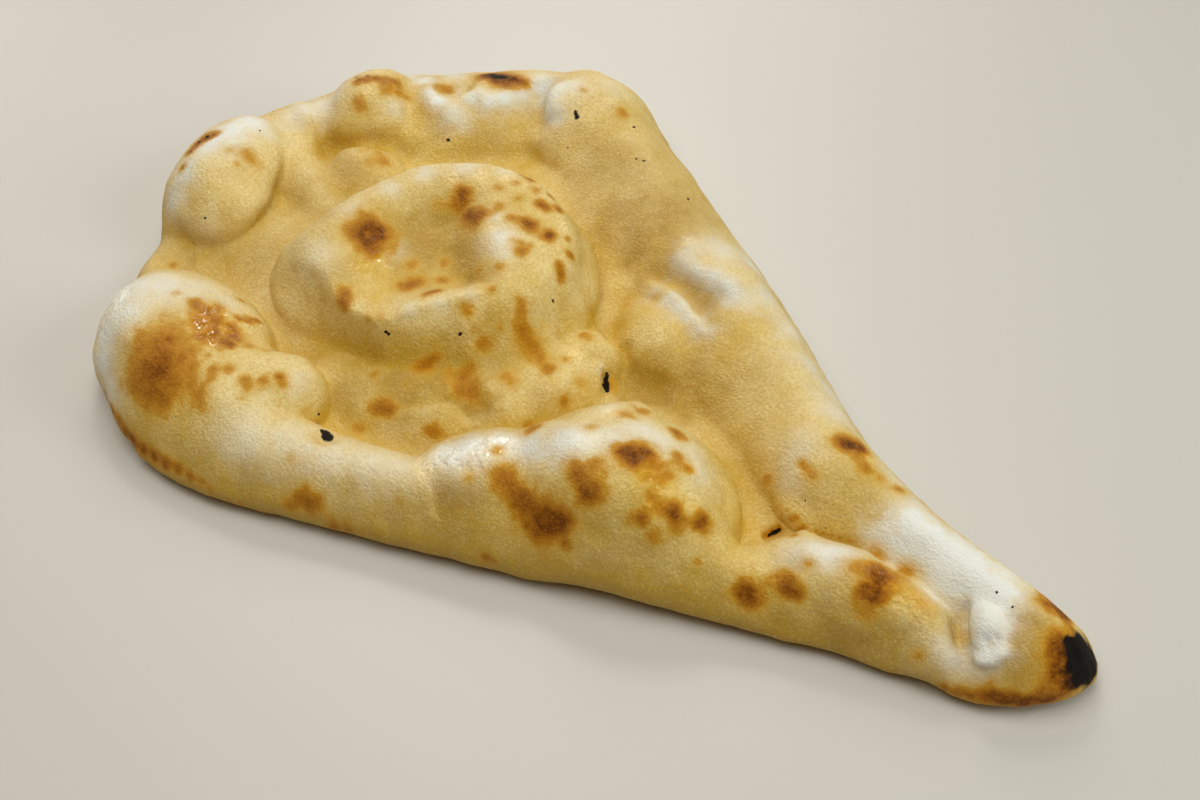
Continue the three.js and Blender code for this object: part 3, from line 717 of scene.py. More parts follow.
def run_along(places):
    """The length run along a line at each of its places."""
    return np.append(0, np.cumsum(np.linalg.norm(np.diff(places, axis=0), axis=1)))


def near_path(x, y, path):
    """How far a place is from a path on the plan, and the path's other numbers where it is nearest."""
    path = np.array(path, float)
    distance = np.full(x.shape, np.inf)
    values = np.zeros(x.shape + (path.shape[1],))
    for start, end in zip(path, path[1:]):
        step = end[:2] - start[:2]
        share = np.clip(((x - start[0]) * step[0] + (y - start[1]) * step[1]) / (step @ step), 0, 1)
        here = np.hypot(x - start[0] - share * step[0], y - start[1] - share * step[1])
        nearer = here < distance
        distance[nearer] = here[nearer]
        values[nearer] = start + (end - start) * share[nearer][:, None]
    return distance, values


def near_line(points, line):
    """For points near a line on the skin: their distance from it, the share of its length run where they are
    nearest, the way ahead there, and that nearest place."""
    run = run_along(line)
    distance, share = np.full(len(points), np.inf), np.zeros(len(points))
    ahead, foot = np.zeros((len(points), 3)), np.zeros((len(points), 3))
    for k, (start, end) in enumerate(zip(line, line[1:])):
        step = end - start
        part = np.clip((points - start) @ step / max(step @ step, TINY), 0, 1)
        place = start + part[:, None] * step
        here = np.linalg.norm(points - place, axis=1)
        nearer = here < distance
        distance[nearer] = here[nearer]
        share[nearer] = (run[k] + part[nearer] * (run[k + 1] - run[k])) / run[-1]
        ahead[nearer] = step / max(np.linalg.norm(step), TINY)
        foot[nearer] = place[nearer]
    return distance, share, ahead, foot


def close_by(points, line, reach):
    """The points inside the line's box, grown by a reach."""
    return np.flatnonzero(((points > line.min(0) - reach) & (points < line.max(0) + reach)).all(1))


def inside_loop(x, y, loop):
    """Whether a place is inside a closed loop."""
    inside = np.zeros(x.shape, bool)
    for (x0, y0), (x1, y1) in zip(loop, np.roll(loop, -1, axis=0)):
        if y0 != y1:
            inside ^= ((y0 > y) != (y1 > y)) & (x < (x1 - x0) * (y - y0) / (y1 - y0) + x0)
    return inside


def loop_depth(x, y, points):
    """How far inside a smooth closed loop a place is, or less than 0 outside it."""
    overlap = 2  # points at each end that the loop runs over itself, so that it closes smoothly
    loop = smooth_line(points[-overlap:] + points + points[:overlap])[0]
    loop = loop[overlap * STEPS:-overlap * STEPS:THINNED]
    distance = near_path(x, y, np.vstack([loop, loop[:1]]))[0]
    return np.where(inside_loop(x, y, loop), distance, -distance)


# ---------------------------------------------------------------- the plan

SIDES = {
    name: smooth_line(points)
    for name, points in {"head": HEAD, "far": FAR_SIDE, "tip": TIP, "near": NEAR_SIDE}.items()
}
RIM = np.vstack([places[:-1] for places, _ in SIDES.values()])
MIDDLE = (RIM.min(0) + RIM.max(0)) / 2


def on_side(name, share):
    """The place at a share of the way along a side."""
    places, run = SIDES[name]
    return np.stack([np.interp(share, run, places[:, 0]), np.interp(share, run, places[:, 1])], -1)


def plan_place(u, v):
    """A place on the plan: u runs from the head to the tip, and v from the near side to the far side."""
    u1, v1 = u[..., None], v[..., None]
    ends = on_side("head", v) * (1 - u1) + on_side("tip", 1 - v) * u1
    flanks = on_side("near", 1 - u) * (1 - v1) + on_side("far", u) * v1
    at_head = on_side("head", 0) * (1 - v1) + on_side("head", 1) * v1
    at_tip = on_side("tip", 1) * (1 - v1) + on_side("tip", 0) * v1
    return ends + flanks - at_head * (1 - u1) - at_tip * u1


def rim_distance(x, y):
    """How far in from the outline a place is."""
    return near_path(x, y, np.vstack([RIM[::THINNED], RIM[:1]]))[0]


# ---------------------------------------------------------------- random forms

def plan_noise(x, y, size, seed):
    """Smooth random numbers from -1 to 1 on the plan, with bumps of about that size."""
    spread = 640  # millimetres, more than the bread's length
    cells = int(spread / size) + 3  # with spare ones at its ends
    lattice = np.random.default_rng(SEED + seed).uniform(-1, 1, (cells, cells))
    gx, gy = (x + spread / 2) / size, (y + spread / 2) / size
    i, j = np.floor(gx).astype(int), np.floor(gy).astype(int)
    fx, fy = eased(gx - i), eased(gy - j)
    low = lattice[i, j] * (1 - fx) + lattice[i + 1, j] * fx
    high = lattice[i, j + 1] * (1 - fx) + lattice[i + 1, j + 1] * fx
    return low * (1 - fy) + high * fy


def skin_noise(points, size, seed):
    """Smooth random numbers from -1 to 1 at places in space, with lumps of about that size."""
    cells = 41  # after so many cells the lumps come again
    lattice = np.random.default_rng(SEED + seed).uniform(-1, 1, (cells, cells, cells))
    scaled = points / size
    low = np.floor(scaled).astype(int)
    part = eased(scaled - low)
    total = np.zeros(len(points))
    for corner in np.ndindex(2, 2, 2):
        weight = np.prod(np.where(corner, part, 1 - part), axis=1)
        total += weight * lattice[tuple(((low + corner) % cells).T)]
    return total


def layered_noise(points, layers, seed):
    """Skin noise of several sizes, each at its own strength."""
    return sum(strength * skin_noise(points, size, seed + k) for k, (size, strength) in enumerate(layers))


def eased(share):
    """A share from 0 to 1 that starts and ends gently."""
    return share * share * (3 - 2 * share)


# ---------------------------------------------------------------- heights

def puff(top, reach, flat, wall):
    """Height of a dome or roll at a reach from its middle, sinking away outside it."""
    inside = np.clip(1 - np.minimum(reach, 1) ** flat, 0, 1) ** wall
    return FOOT + (top - FOOT) * np.where(reach < 1, inside, 1 - reach)


def oval_reach(x, y, middle, half, turn):
    """How far a place is from an oval's middle: 1 is on the oval."""
    c, s = math.cos(math.radians(turn)), math.sin(math.radians(turn))
    along = (x - middle[0]) * c + (y - middle[1]) * s
    across = (y - middle[1]) * c - (x - middle[0]) * s
    return np.hypot(along / half[0], across / half[1])


def share_across(x, y, start, heading, run):
    """How far a place is along a heading: 0 up to the start, and 1 from the end of the run."""
    return ramp((x - start[0]) * heading[0] + (y - start[1]) * heading[1], 0, run)


def crown_height(x, y):
    """Height of the sunken bubble: a wall from its foot to its rim, a shoulder, and a hollow."""
    in_foot, in_rim, in_hollow = (loop_depth(x, y, loop) for loop in (CROWN_FOOT, CROWN_RIM, CROWN_HOLLOW))
    start_x, start_y, start_z = CROWN_FRONT
    edge = start_z + CROWN_SLOPE[0] * (x - start_x) + CROWN_SLOPE[1] * (y - start_y)
    edge -= SHOULDER_FALL * ramp(-in_hollow, 0, SHOULDER_RUN) ** SHOULDER_ROUND
    to_front = share_across(x, y, *CROWN_TO_FRONT)
    base, bulge = (back + (front - back) * to_front for back, front in (CROWN_BASE, CROWN_BULGE))
    up = np.clip(in_foot / np.maximum(in_foot - in_rim, TINY), 0, 1)
    wall = base + (edge - base) * np.sin(up * math.pi / 2) ** bulge
    sink = SINK[0] + (SINK[1] - SINK[0]) * share_across(x, y, *SINK_ACROSS)
    top = edge - sink * eased(ramp(in_hollow, 0, SINK_RUN))
    return np.where(in_rim > 0, top, np.where(in_foot > 0, wall, base + in_foot))


def puffed_height(x, y):
    """Height of the skin before its edge is rounded off."""
    heights = [np.full(x.shape, SHEET)]
    for middle, half, turn, top, flat, wall in BUBBLES.values():
        heights.append(puff(top, oval_reach(x, y, middle, half, turn), flat, wall))
    for wall, path in ROLLS.values():
        distance, values = near_path(x, y, path)
        heights.append(puff(values[..., 2], distance / values[..., 3], ROLL_FLAT, wall))
    heights.append(crown_height(x, y))
    heights = np.array(heights)
    highest = heights.max(0)
    skin = highest + BLEND * np.log(np.exp((heights - highest) / BLEND).sum(0))
    from_groove = near_path(x, y, PILLOW_GROOVE)[0] / PILLOW_GROOVE_WIDTH
    skin -= PILLOW_GROOVE_DEPTH * np.exp(-(from_groove**2))
    for k, (size, height) in enumerate(SWELLS):
        skin += height * plan_noise(x, y, size, SEEDS["swells"] + k)
    return np.maximum(skin, SHEET / 2)


def quarter_round(distance, reach):
    """0 at the rim, and 1 from its reach inwards."""
    left = np.maximum(1 - distance / reach, 0)
    return np.sqrt(1 - left**2)


# ---------------------------------------------------------------- the top skin, on its grid

def grid_height(x, y):
    """Height of the top, its height before the edge is rounded off, and the distance from the outline."""
    full = puffed_height(x, y)
    reach = np.clip(full * EDGE_ROUND, EDGE_LEAST, EDGE_MOST)
    distance = rim_distance(x, y)
    distance[[0, -1]] = 0
    distance[:, [0, -1]] = 0
    return full * (WAIST + (1 - WAIST) * quarter_round(distance, reach)), full, distance


def even_steps(x, y, z, axis):
    """Slides the places along one set of grid lines until the steps along the skin are more even."""
    x, y, z = (np.moveaxis(a, axis, 0) for a in (x, y, z))
    steps = np.sqrt(np.diff(x, axis=0) ** 2 + np.diff(y, axis=0) ** 2 + np.diff(z, axis=0) ** 2)
    run = np.vstack([np.zeros_like(steps[:1]), np.cumsum(steps, axis=0)])
    run /= run[-1]
    share = np.linspace(0, 1, len(run))
    slid = np.empty_like(x), np.empty_like(y)
    for k in range(x.shape[1]):
        mixed = EVENNESS * np.interp(share, run[:, k], share) + (1 - EVENNESS) * share
        for after, before in zip(slid, (x, y)):
            after[:, k] = np.interp(mixed, share, before[:, k])
    return tuple(np.moveaxis(a, 0, axis) for a in slid)


def top_skin():
    """Plan places, heights, heights before the rounding, and distances from the outline."""
    u, v = np.meshgrid(np.linspace(0, 1, TOP_ALONG + 1), np.linspace(0, 1, TOP_ACROSS + 1), indexing="ij")
    places = plan_place(u, v)
    x, y = places[..., 0], places[..., 1]
    for axis in (0, 1):
        x, y = even_steps(x, y, grid_height(x, y)[0], axis)
    return x, y, *grid_height(x, y)


def neighbours(field):
    """The values beside each place, on its four sides."""
    padded = np.pad(field, 1, mode="edge")
    return padded[:-2, 1:-1], padded[2:, 1:-1], padded[1:-1, :-2], padded[1:-1, 2:]


def blurred(field, times):
    """The field with each place averaged with its neighbours, that many times."""
    for _ in range(times):
        field = (sum(neighbours(field)) + 4 * field) / 8
    return field


def lowest_near(field, times):
    """The lowest value within that many cells of each place."""
    for _ in range(times):
        field = np.minimum.reduce([field, *neighbours(field)])
    return field


def grid_normals(x, y, z):
    """The way out of the skin at each place."""
    p = np.stack([x, y, z], -1)
    normals = np.cross(np.gradient(p, axis=0), np.gradient(p, axis=1))
    return normals / np.maximum(np.linalg.norm(normals, axis=-1, keepdims=True), TINY)


def lean_out(x, y, z, distance):
    """Walls lean out over their foot, so that a crease is pinched."""
    normals = grid_normals(x, y, z)
    sideways = np.linalg.norm(normals[..., :2], axis=-1)
    lift = z - lowest_near(z, LEAN_CELLS)
    inward = ramp(distance, *LEAN_EDGE)
    for middle, reach in SOFT_FEET:
        inward = inward * (1 - np.exp(-((x - middle[0]) ** 2 + (y - middle[1]) ** 2) / reach**2))
    leaning = ramp(sideways, *LEAN_STEEPNESS) * np.sin(math.pi * ramp(lift, 0, LEAN_HEIGHT)) * inward
    shift = blurred(OVERHANG * leaning, LEAN_SOFTENED)
    out = normals[..., :2] / np.maximum(sideways, TINY)[..., None]
    return x + shift * out[..., 0], y + shift * out[..., 1]


# ---------------------------------------------------------------- small forms on the skin

def view_ray(px, py):
    """The way that the view looks through a pixel."""
    ray = -BACK + (px - VIEW_WIDTH / 2) / FOCAL * RIGHT - (py - VIEW_HEIGHT / 2) / FOCAL * UP
    return Vector(ray).normalized()


def skin_tree(x, y, z):
    """The top skin, made ready for rays."""
    index = np.arange(x.size).reshape(x.shape)
    quads = np.stack([index[:-1, :-1], index[1:, :-1], index[1:, 1:], index[:-1, 1:]], -1).reshape(-1, 4)
    return BVHTree.FromPolygons(np.stack([x, y, z], -1).reshape(-1, 3).tolist(), quads.tolist())


def on_skin(tree, pixels):
    """The skin's places along a line through the view's pixels, or under its one pixel."""
    pixels = np.array(pixels, float)
    places = []
    for start, end in zip(pixels, np.vstack([pixels[1:], pixels[-1:]])):
        count = max(1, round(math.dist(start, end) / PIXEL_STEP))
        for k in range(count):
            place = tree.ray_cast(Vector(BACK * DISTANCE), view_ray(*(start + (end - start) * k / count)))[0]
            if place is not None:
                places.append(place)
    return np.array(places)


def tapered(share):
    """How strong a line's form is at a share of its length: it fades in and out at its ends."""
    return ramp(np.minimum(share, 1 - share), 0, END_TAPER) ** END_ROUND


def press_ridge(points, moved, normals, line, height, width):
    """Raises or sinks the skin along a line on it, or round one place."""
    near = close_by(points, line, RIDGE_REACH * width)
    if len(line) == 1:
        distance, taper = np.linalg.norm(points[near] - line[0], axis=1), 1
    else:
        distance, share, _, _ = near_line(points[near], line)
        taper = tapered(share)
    moved[near] += normals[near] * (height * taper * np.exp(-((distance / width) ** 2)))[:, None]


def press_fold(points, moved, normals, line, lift, drop, width, lean):
    """Steps the skin up along a line on it, with the high side leaning over the low one."""
    near = close_by(points, line, FOLD_REACH * width)
    distance, share, ahead, foot = near_line(points[near], line)
    across = np.cross(normals[near], ahead)
    side = ((points[near] - foot) * across).sum(1)
    # Past the line's ends the distance outgrows the side, and the fold fades.
    taper = tapered(share) * np.clip(2 - distance / np.maximum(np.abs(side), TINY), 0, 1)
    high = 0.5 + 0.5 * np.tanh(side / FOLD_EDGE)
    step = taper * np.exp(-np.abs(side) / width) * (lift * high - drop * (1 - high))
    over = taper * lean * np.exp(-(((side - FOLD_LEAN[0]) / FOLD_LEAN[1]) ** 2))
    moved[near] += normals[near] * step[:, None] - across * over[:, None]


def pressed(x, y, z):
    """The skin with the small ridges, grooves, bumps and folds worked into it."""
    tree = skin_tree(x, y, z)
    points = np.stack([x, y, z], -1).reshape(-1, 3)
    normals = grid_normals(*(blurred(a, SKIN_SMOOTHED) for a in (x, y, z))).reshape(-1, 3)
    moved = points.copy()
    for pixels, *sizes in RIDGES.values():
        press_ridge(points, moved, normals, on_skin(tree, pixels), *sizes)
    for pixels, *sizes in FOLDS.values():
        press_fold(points, moved, normals, on_skin(tree, pixels), *sizes)
    return tuple(moved.T.reshape(3, *x.shape))


def roughened(points, normals, sunken, charred):
    """The skin with the lumps that bubbling dough has all over, and with the pits of its charred places."""
    lumps = layered_noise(points, LUMPS, SEEDS["lumps"])
    lumps *= LUMPS_HIGH + LUMPS_SUNKEN * np.clip(sunken, 0, 1)
    pits = charred * CHAR_DEPTH * (1 + skin_noise(points, CHAR_LUMP, SEEDS["char"]))
    return points + normals * (lumps - pits)[:, None]


# ---------------------------------------------------------------- marks on the skin

def spotted(tree, points, spots, wobble, sharpness):
    """How strongly each point is marked by the spots; the wobble makes their edges ragged."""
    mark = np.zeros(len(points))
    for px, py, radius, strength in spots:
        place = on_skin(tree, [(px, py)])
        if len(place) == 0:
            continue
        near = close_by(points, place, SPOT_REACH * radius)
        reach = np.linalg.norm(points[near] - place[0], axis=1) / radius * (1 + wobble[near])
        halo, core = np.exp(-((reach / HALO_WIDTH) ** 2)), np.exp(-(reach**sharpness))
        here = strength * (HALO * halo + (1 - HALO) * core)
        mark[near] = (mark[near] ** GATHER + here**GATHER) ** (1 / GATHER)
    return np.minimum(mark, 1)


def blistered(points, share):
    """Random baked spots, in groups, where the share is more than 0."""
    groups = skin_noise(points, BLISTER_GROUP, SEEDS["blister_groups"])
    spots = layered_noise(points, BLISTERS, SEEDS["blisters"])
    dark = (spots - BLISTER_START + BLISTER_GROUPING * groups) / BLISTER_RISE
    return np.clip(dark, 0, BLISTER_MOST) * ramp(share, 0, BARE_FULL)


def bake(tree, points, normals, distance, sunken, on_top):
    """The marks of the oven at each point of the skin, with the painted shade and highlight."""
    wobble = layered_noise(points, RAGGED, SEEDS["ragged"])
    marks = {}
    for name, (groups, sharpness) in MARKS.items():
        spots = [spot for group in groups.values() for spot in group]
        marks[name] = spotted(tree, points, spots, wobble, sharpness)
    bare = np.clip(BARE_TURN - normals @ BACK, 0, 1) * on_top * ramp(distance, *BARE_EDGE)
    marks["baked"] = np.maximum(marks["baked"], blistered(points, bare))
    edge_gold = EDGE_GOLD * np.exp(-((points[:, 2] / EDGE_GOLD_HEIGHT) ** 2))
    marks["butter_and_shade"] = np.maximum(marks["butter_and_shade"], edge_gold)
    # Painted shade: darker gold in hollows and on steep walls.
    marks["sunken"] = sunken + STEEP_SHADE * ramp(normals[:, 2], *STEEP) * on_top
    marks["underside"] = np.where(on_top, 0, ramp(distance, *UNDER_BAKED))
    return marks


def speck_places(naan):
    """Where the black specks lie on the finished skin, and their radii."""
    start = Vector((BACK * DISTANCE - [*MIDDLE, 0]) * MM)
    places = []
    for px, py, radius in (speck for group in SPECKS.values() for speck in group):
        found, place, _, _ = naan.ray_cast(start, view_ray(px, py))
        if found:
            places.append((tuple(place), radius * MM))
    return places


# ---------------------------------------------------------------- the bread

def is_low_border(edge):
    """Whether an edge of the blank lies on the border of its underside."""
    a, b = (vertex.co for vertex in edge.verts)
    border, low = 0.499, 0.1  # just inside half the blank's width, and just above its underside
    on_border = any(min(abs(a[k]), abs(b[k])) > border and a[k] * b[k] > 0 for k in (0, 1))
    return on_border and max(a.z, b.z) < low


def dough_blank():
    """A closed slab one unit wide each way: coarse cells under, cells half as wide on top."""
    bpy.ops.object.select_all(action="DESELECT")
    bpy.ops.mesh.primitive_grid_add(x_subdivisions=UNDER_ALONG, y_subdivisions=UNDER_ACROSS, size=1)
    blank = bpy.context.object
    blank.name = blank.data.name = "naan_bread"
    bpy.ops.object.mode_set(mode="EDIT")
    bpy.ops.mesh.select_all(action="SELECT")
    bpy.ops.mesh.extrude_region_move(TRANSFORM_OT_translate={"value": (0, 0, 1)})
    bpy.ops.mesh.subdivide(number_cuts=1)
    bpy.ops.mesh.select_all(action="SELECT")
    bpy.ops.mesh.normals_make_consistent(inside=False)
    bpy.ops.object.mode_set(mode="OBJECT")
    mesh = bmesh.new()
    mesh.from_mesh(blank.data)
    low_border = [edge for edge in mesh.edges if is_low_border(edge)]
    bmesh.ops.dissolve_edges(mesh, edges=low_border, use_verts=False)
    mesh.to_mesh(blank.data)
    mesh.free()
    return blank


def coordinates(piece):
    """The piece's points as an array."""
    flat = np.empty(len(piece.data.vertices) * 3)
    piece.data.vertices.foreach_get("co", flat)
    return flat.reshape(-1, 3)


def shaped(blank_points):
    """The blank's points moved to the bread's skin, in millimetres, and the marks of the oven at each, with
    the painted shade and highlight.
    """
    plan_x, plan_y, z, full, distance = top_skin()
    x, y = lean_out(plan_x, plan_y, z, distance)
    x, y, z = pressed(x, y, z)
    top = np.stack([x, y, z], -1)

    # The underside keeps the plan from before the walls and folds moved it, except close to the edge.
    inner = ramp(distance, 0, UNDER_ROUND)
    curl = np.where(distance > 0, full * WAIST * (1 - quarter_round(distance, UNDER_ROUND)), z)
    under = np.stack([x + (plan_x - x) * inner, y + (plan_y - y) * inner, curl], -1)

    i, j = np.rint((blank_points[:, :2] + 0.5) * (TOP_ALONG, TOP_ACROSS)).astype(int).T
    on_top = blank_points[:, 2] > 0.5
    points = np.where(on_top[:, None], top[i, j], under[i, j])
    normals, distance = grid_normals(x, y, z)[i, j], distance[i, j]
    sunken = np.clip((blurred(z, SUNKEN_SMOOTHED) - z) / SUNKEN_DEPTH, -1, 1)[i, j]
    marks = bake(skin_tree(x, y, z), points, normals, distance, sunken, on_top)
    lumpy = np.where(on_top, 1, np.exp(-distance / LUMPS_UNDER))
    return roughened(points, normals * lumpy[:, None], sunken, marks["charred"]), marks


def make_naan():
    """The bread as one closed skin, centred on the frame, with the oven's marks, painted shade and painted
    highlight as its attributes.
    """
    naan = dough_blank()
    points, marks = shaped(coordinates(naan))
    points[:, :2] -= MIDDLE
    points[:, :2] *= np.minimum(1, LIMITS[:2] / np.abs(points[:, :2]).max(0))
    points[:, 2] = np.clip(points[:, 2], 0, LIMITS[2])
    naan.data.vertices.foreach_set("co", (points * MM).ravel())
    naan.data.update()
    for name, field in marks.items():
        attribute = naan.data.attributes.new(name, "FLOAT", "POINT")
        attribute.data.foreach_set("value", field)
    bpy.ops.object.mode_set(mode="EDIT")
    bpy.ops.mesh.select_all(action="SELECT")
    bpy.ops.mesh.remove_doubles(threshold=MERGED * MM)
    bpy.ops.object.mode_set(mode="OBJECT")
    naan.data.shade_smooth()
    return naan


# ---------------------------------------------------------------- the crust's material

class Nodes:
    """Adds nodes to a material, and joins them."""

    def __init__(self, material):
        material.use_nodes = True
        self.tree = material.node_tree
        self.shader = self.tree.nodes["Principled BSDF"]

    def add(self, kind, inputs=(), **settings):
        """A node with its settings, and with its inputs as values or as other nodes' outputs."""
        node = self.tree.nodes.new("ShaderNode" + kind)
        for name, value in settings.items():
            setattr(node, name, value)
        for name, value in dict(inputs).items():
            self.join(value, node.inputs[name])
        return node

    def join(self, value, socket):
        """Gives a socket a value, or another node's output."""
        if isinstance(value, bpy.types.NodeSocket):
            self.tree.links.new(value, socket)
        else:
            socket.default_value = value

    def place(self):
        """The place on the piece, in metres."""
        return self.add("TexCoord").outputs["Object"]

    def mark(self, name):
        """One of the marks that the mesh carries."""
        return self.add("Attribute", attribute_name=name).outputs["Fac"]

    def noise(self, name, output="Fac"):
        """One of the named noises."""
        scale, detail, roughness = NOISES[name]
        inputs = {"Vector": self.place(), "Scale": scale, "Detail": detail, "Roughness": roughness}
        return self.add("TexNoise", inputs).outputs[output]

    def span(self, value, name):
        """The value, spread from one span onto another."""
        low, high, to_low, to_high = SPANS[name]
        inputs = {"Value": value, "From Min": low, "From Max": high, "To Min": to_low, "To Max": to_high}
        return self.add("MapRange", inputs).outputs[0]

    def math(self, operation, first, second, clamp=False):
        """Two numbers, put together."""
        return self.add("Math", {0: first, 1: second}, operation=operation, use_clamp=clamp).outputs[0]

    def blend(self, share, first, second):
        """A number that goes from the first to the second with the share."""
        return self.add("Mix", {0: share, 2: first, 3: second}).outputs[0]

    def mix(self, share, first, second):
        """A colour that goes from the first to the second with the share."""
        return self.add("Mix", {0: share, 6: first, 7: second}, data_type="RGBA").outputs[2]

    def ramp(self, value, stops):
        """The colour at a value on a ramp of colours."""
        node = self.add("ValToRGB", {"Fac": value})
        while len(node.color_ramp.elements) < len(stops):
            node.color_ramp.elements.new(0.5)
        for element, (place, colour) in zip(node.color_ramp.elements, stops):
            element.position, element.color = place, colour
        return node.outputs[0]


def dough_colour(n, mottle, grain):
    """Pale bubbles, hollows and steep walls painted darker gold as shade, a fine toasted grain, and flour
    and painted glare on top.
    """
    uneven = n.math("ADD", n.span(n.noise("broad"), "broad_gold"), n.span(n.noise("patchy"), "patchy_gold"))
    # Painted shade in hollows and on steep walls, with random patches of gold.
    shade_and_patches = n.math("ADD", n.span(n.mark("sunken"), "hollow_shade_gold"), uneven, clamp=True)
    dough = n.mix(shade_and_patches, DOUGH_PALE, DOUGH_GOLD)
    # Butter, and painted shade in valleys, the crater, the pocket and slits.
    butter_shade = n.math("MULTIPLY", n.mark("butter_and_shade"), n.span(mottle, "butter_shade_mottle"), clamp=True)
    dough = n.mix(butter_shade, dough, DOUGH_BUTTER_SHADE)
    freckles = n.span(n.noise("freckles"), "freckles")
    freckles = n.math("MULTIPLY", freckles, n.span(n.noise("freckled_places"), "freckled_places"))
    dough = n.mix(freckles, dough, DOUGH_TOAST)
    dough = n.mix(n.span(grain, "dark_grain"), dough, DOUGH_TOAST)
    dough = n.mix(n.span(grain, "light_grain"), dough, DOUGH_LIT)
    # Flour, and painted highlight where the tops and edges catch the light.
    return n.mix(n.math("MULTIPLY", n.mark("flour_and_glare"), FLOUR_AND_GLARE_COVER), dough, FLOUR_AND_GLARE_WHITE)


def baked_depth(n, mottle, grain):
    """How dark the crust is baked, in its spots and on the underside."""
    under = n.math("MULTIPLY", n.mark("underside"), n.span(n.noise("underside"), "underside"))
    depth = n.math("MAXIMUM", n.mark("baked"), under)
    depth = n.math("MULTIPLY", depth, n.span(mottle, "baked_mottle"), clamp=True)
    return n.math("MULTIPLY", depth, n.span(grain, "baked_grain"), clamp=True)


def specks_on(n, specks):
    """How far inside the black specks a place is: 0 outside them."""
    place = n.place()
    jitter = n.noise("speck_edge", "Color")
    jitter = n.add("VectorMath", {0: jitter, 1: (0.5, 0.5, 0.5)}, operation="SUBTRACT").outputs[0]
    reach = (SPECK_JITTER * MM,) * 3
    ragged = n.add("VectorMath", {0: jitter, 1: reach, 2: place}, operation="MULTIPLY_ADD").outputs[0]
    inside = 0.0
    for middle, radius in specks:
        away = n.add("VectorMath", {0: ragged, 1: middle}, operation="DISTANCE").outputs["Value"]
        here = n.add("Math", {0: away, 1: -1 / radius, 2: 1.0}, operation="MULTIPLY_ADD").outputs[0]
        inside = n.math("MAXIMUM", here, inside)
    return n.span(inside, "speck_cover")


def blackness(n, mottle, specks):
    """Where the crust is black: its charred places and the specks, some of them painted shadow in the tear
    and the neck's slit.
    """
    charred = n.math("MULTIPLY", n.mark("charred"), n.span(mottle, "char_mottle"), clamp=True)
    return n.math("MAXIMUM", n.span(charred, "char_cover"), specks_on(n, specks))


def crust_roughness(n, depth, black):
    """Buttered skin with a soft uneven gloss, dull where it is baked, and wet where it is oily."""
    dull = n.math("MULTIPLY", n.math("ADD", depth, black), BAKED_DULLNESS)
    rough = n.math("ADD", n.span(n.noise("gloss"), "gloss"), dull, clamp=True)
    film = n.math("MULTIPLY", n.mark("oiled"), n.span(n.noise("oil_film"), "oil_film"))
    return n.blend(n.span(film, "wet"), rough, WET_ROUGHNESS)


def crust_relief(n, grain):
    """The finest wrinkles of the skin, with beads of oil on its oily places."""
    oiled = n.mark("oiled")
    fine = n.blend(GRAIN_RELIEF, n.noise("skin"), grain)
    beads = n.math("MULTIPLY", n.noise("oil_beads"), BEAD_RELIEF)
    fine = n.blend(n.span(oiled, "beaded"), fine, beads)
    raised = n.math("ADD", oiled, n.math("MULTIPLY", n.mark("baked"), BAKED_RELIEF))
    strength = n.span(raised, "relief")
    relief = {"Height": fine, "Strength": strength, "Distance": RELIEF_DEPTH * MM}
    return n.add("Bump", relief).outputs[0]


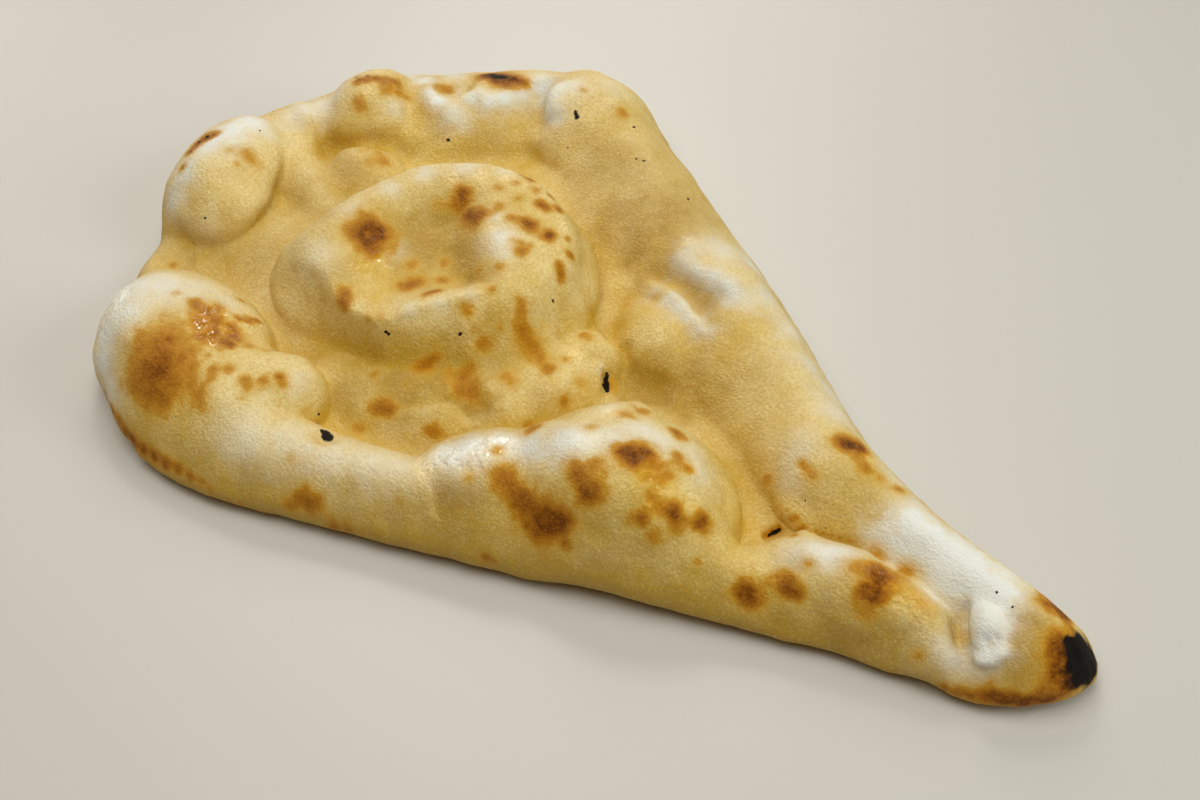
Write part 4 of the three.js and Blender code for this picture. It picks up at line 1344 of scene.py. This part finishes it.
def crust_material(specks):
    """Oven-baked dough: pale bubbles with painted glare, hollows painted darker gold as shade, brown
    blisters and a few charred places.
    """
    crust = bpy.data.materials.new("crust")
    n = Nodes(crust)
    mottle, grain = n.noise("mottle"), n.noise("grain")
    depth, black = baked_depth(n, mottle, grain), blackness(n, mottle, specks)
    colour = n.mix(n.span(depth, "baked_cover"), dough_colour(n, mottle, grain), n.ramp(depth, BROWNS))
    n.join(n.mix(black, colour, CHAR), n.shader.inputs["Base Color"])
    n.join(crust_roughness(n, depth, black), n.shader.inputs["Roughness"])
    n.join(crust_relief(n, grain), n.shader.inputs["Normal"])
    n.shader.inputs["Specular IOR Level"].default_value = SPECULAR
    n.shader.inputs["Subsurface Weight"].default_value = SOAK
    n.shader.inputs["Subsurface Radius"].default_value = SOAK_COLOURS
    n.shader.inputs["Subsurface Scale"].default_value = SOAK_REACH * MM
    return crust


# ---------------------------------------------------------------- camera, light and floor

def set_camera():
    """The camera that the bread is shown through."""
    aim = Vector((-MIDDLE[0], -MIDDLE[1], 0))
    bpy.ops.object.camera_add(location=(aim + Vector(BACK) * DISTANCE) * MM)
    camera = bpy.context.object
    camera.rotation_euler = Vector(-BACK).to_track_quat("-Z", "Y").to_euler()
    camera.data.sensor_width = SENSOR
    camera.data.lens = SENSOR * FOCAL / VIEW_WIDTH
    bpy.context.scene.camera = camera


def soft_light(name, place, size, watts, colour, unseen_by):
    """A square soft light that looks at the bread."""
    bpy.ops.object.light_add(type="AREA", location=place)
    light = bpy.context.object
    light.name = name
    light.rotation_euler = (-Vector(place)).to_track_quat("-Z", "Y").to_euler()
    light.data.size, light.data.energy, light.data.color = size, watts, colour
    setattr(light, unseen_by, False)


def light_room():
    """A warm dim room."""
    world = bpy.data.worlds.new("room")
    bpy.context.scene.world = world
    world.use_nodes = True
    background = world.node_tree.nodes["Background"]
    background.inputs["Color"].default_value = ROOM_COLOUR
    background.inputs["Strength"].default_value = ROOM_STRENGTH


def make_floor():
    """A plain pale floor."""
    bpy.ops.mesh.primitive_plane_add(size=FLOOR_WIDTH)
    floor = bpy.context.object
    floor.name = "floor"
    paint = bpy.data.materials.new("floor_paint")
    paint.use_nodes = True
    paint.node_tree.nodes["Principled BSDF"].inputs["Base Color"].default_value = FLOOR_PAINT
    floor.data.materials.append(paint)
    return floor


bpy.context.scene.view_settings.view_transform = "Standard"
set_camera()
naan = make_naan()
naan.data.materials.append(crust_material(speck_places(naan)))
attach(naan, "root")
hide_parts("naan")

for light_name, (place, size, watts, colour, unseen_by) in LIGHTS.items():
    soft_light(light_name, place, size, watts, colour, unseen_by)
light_room()
floor = make_floor()
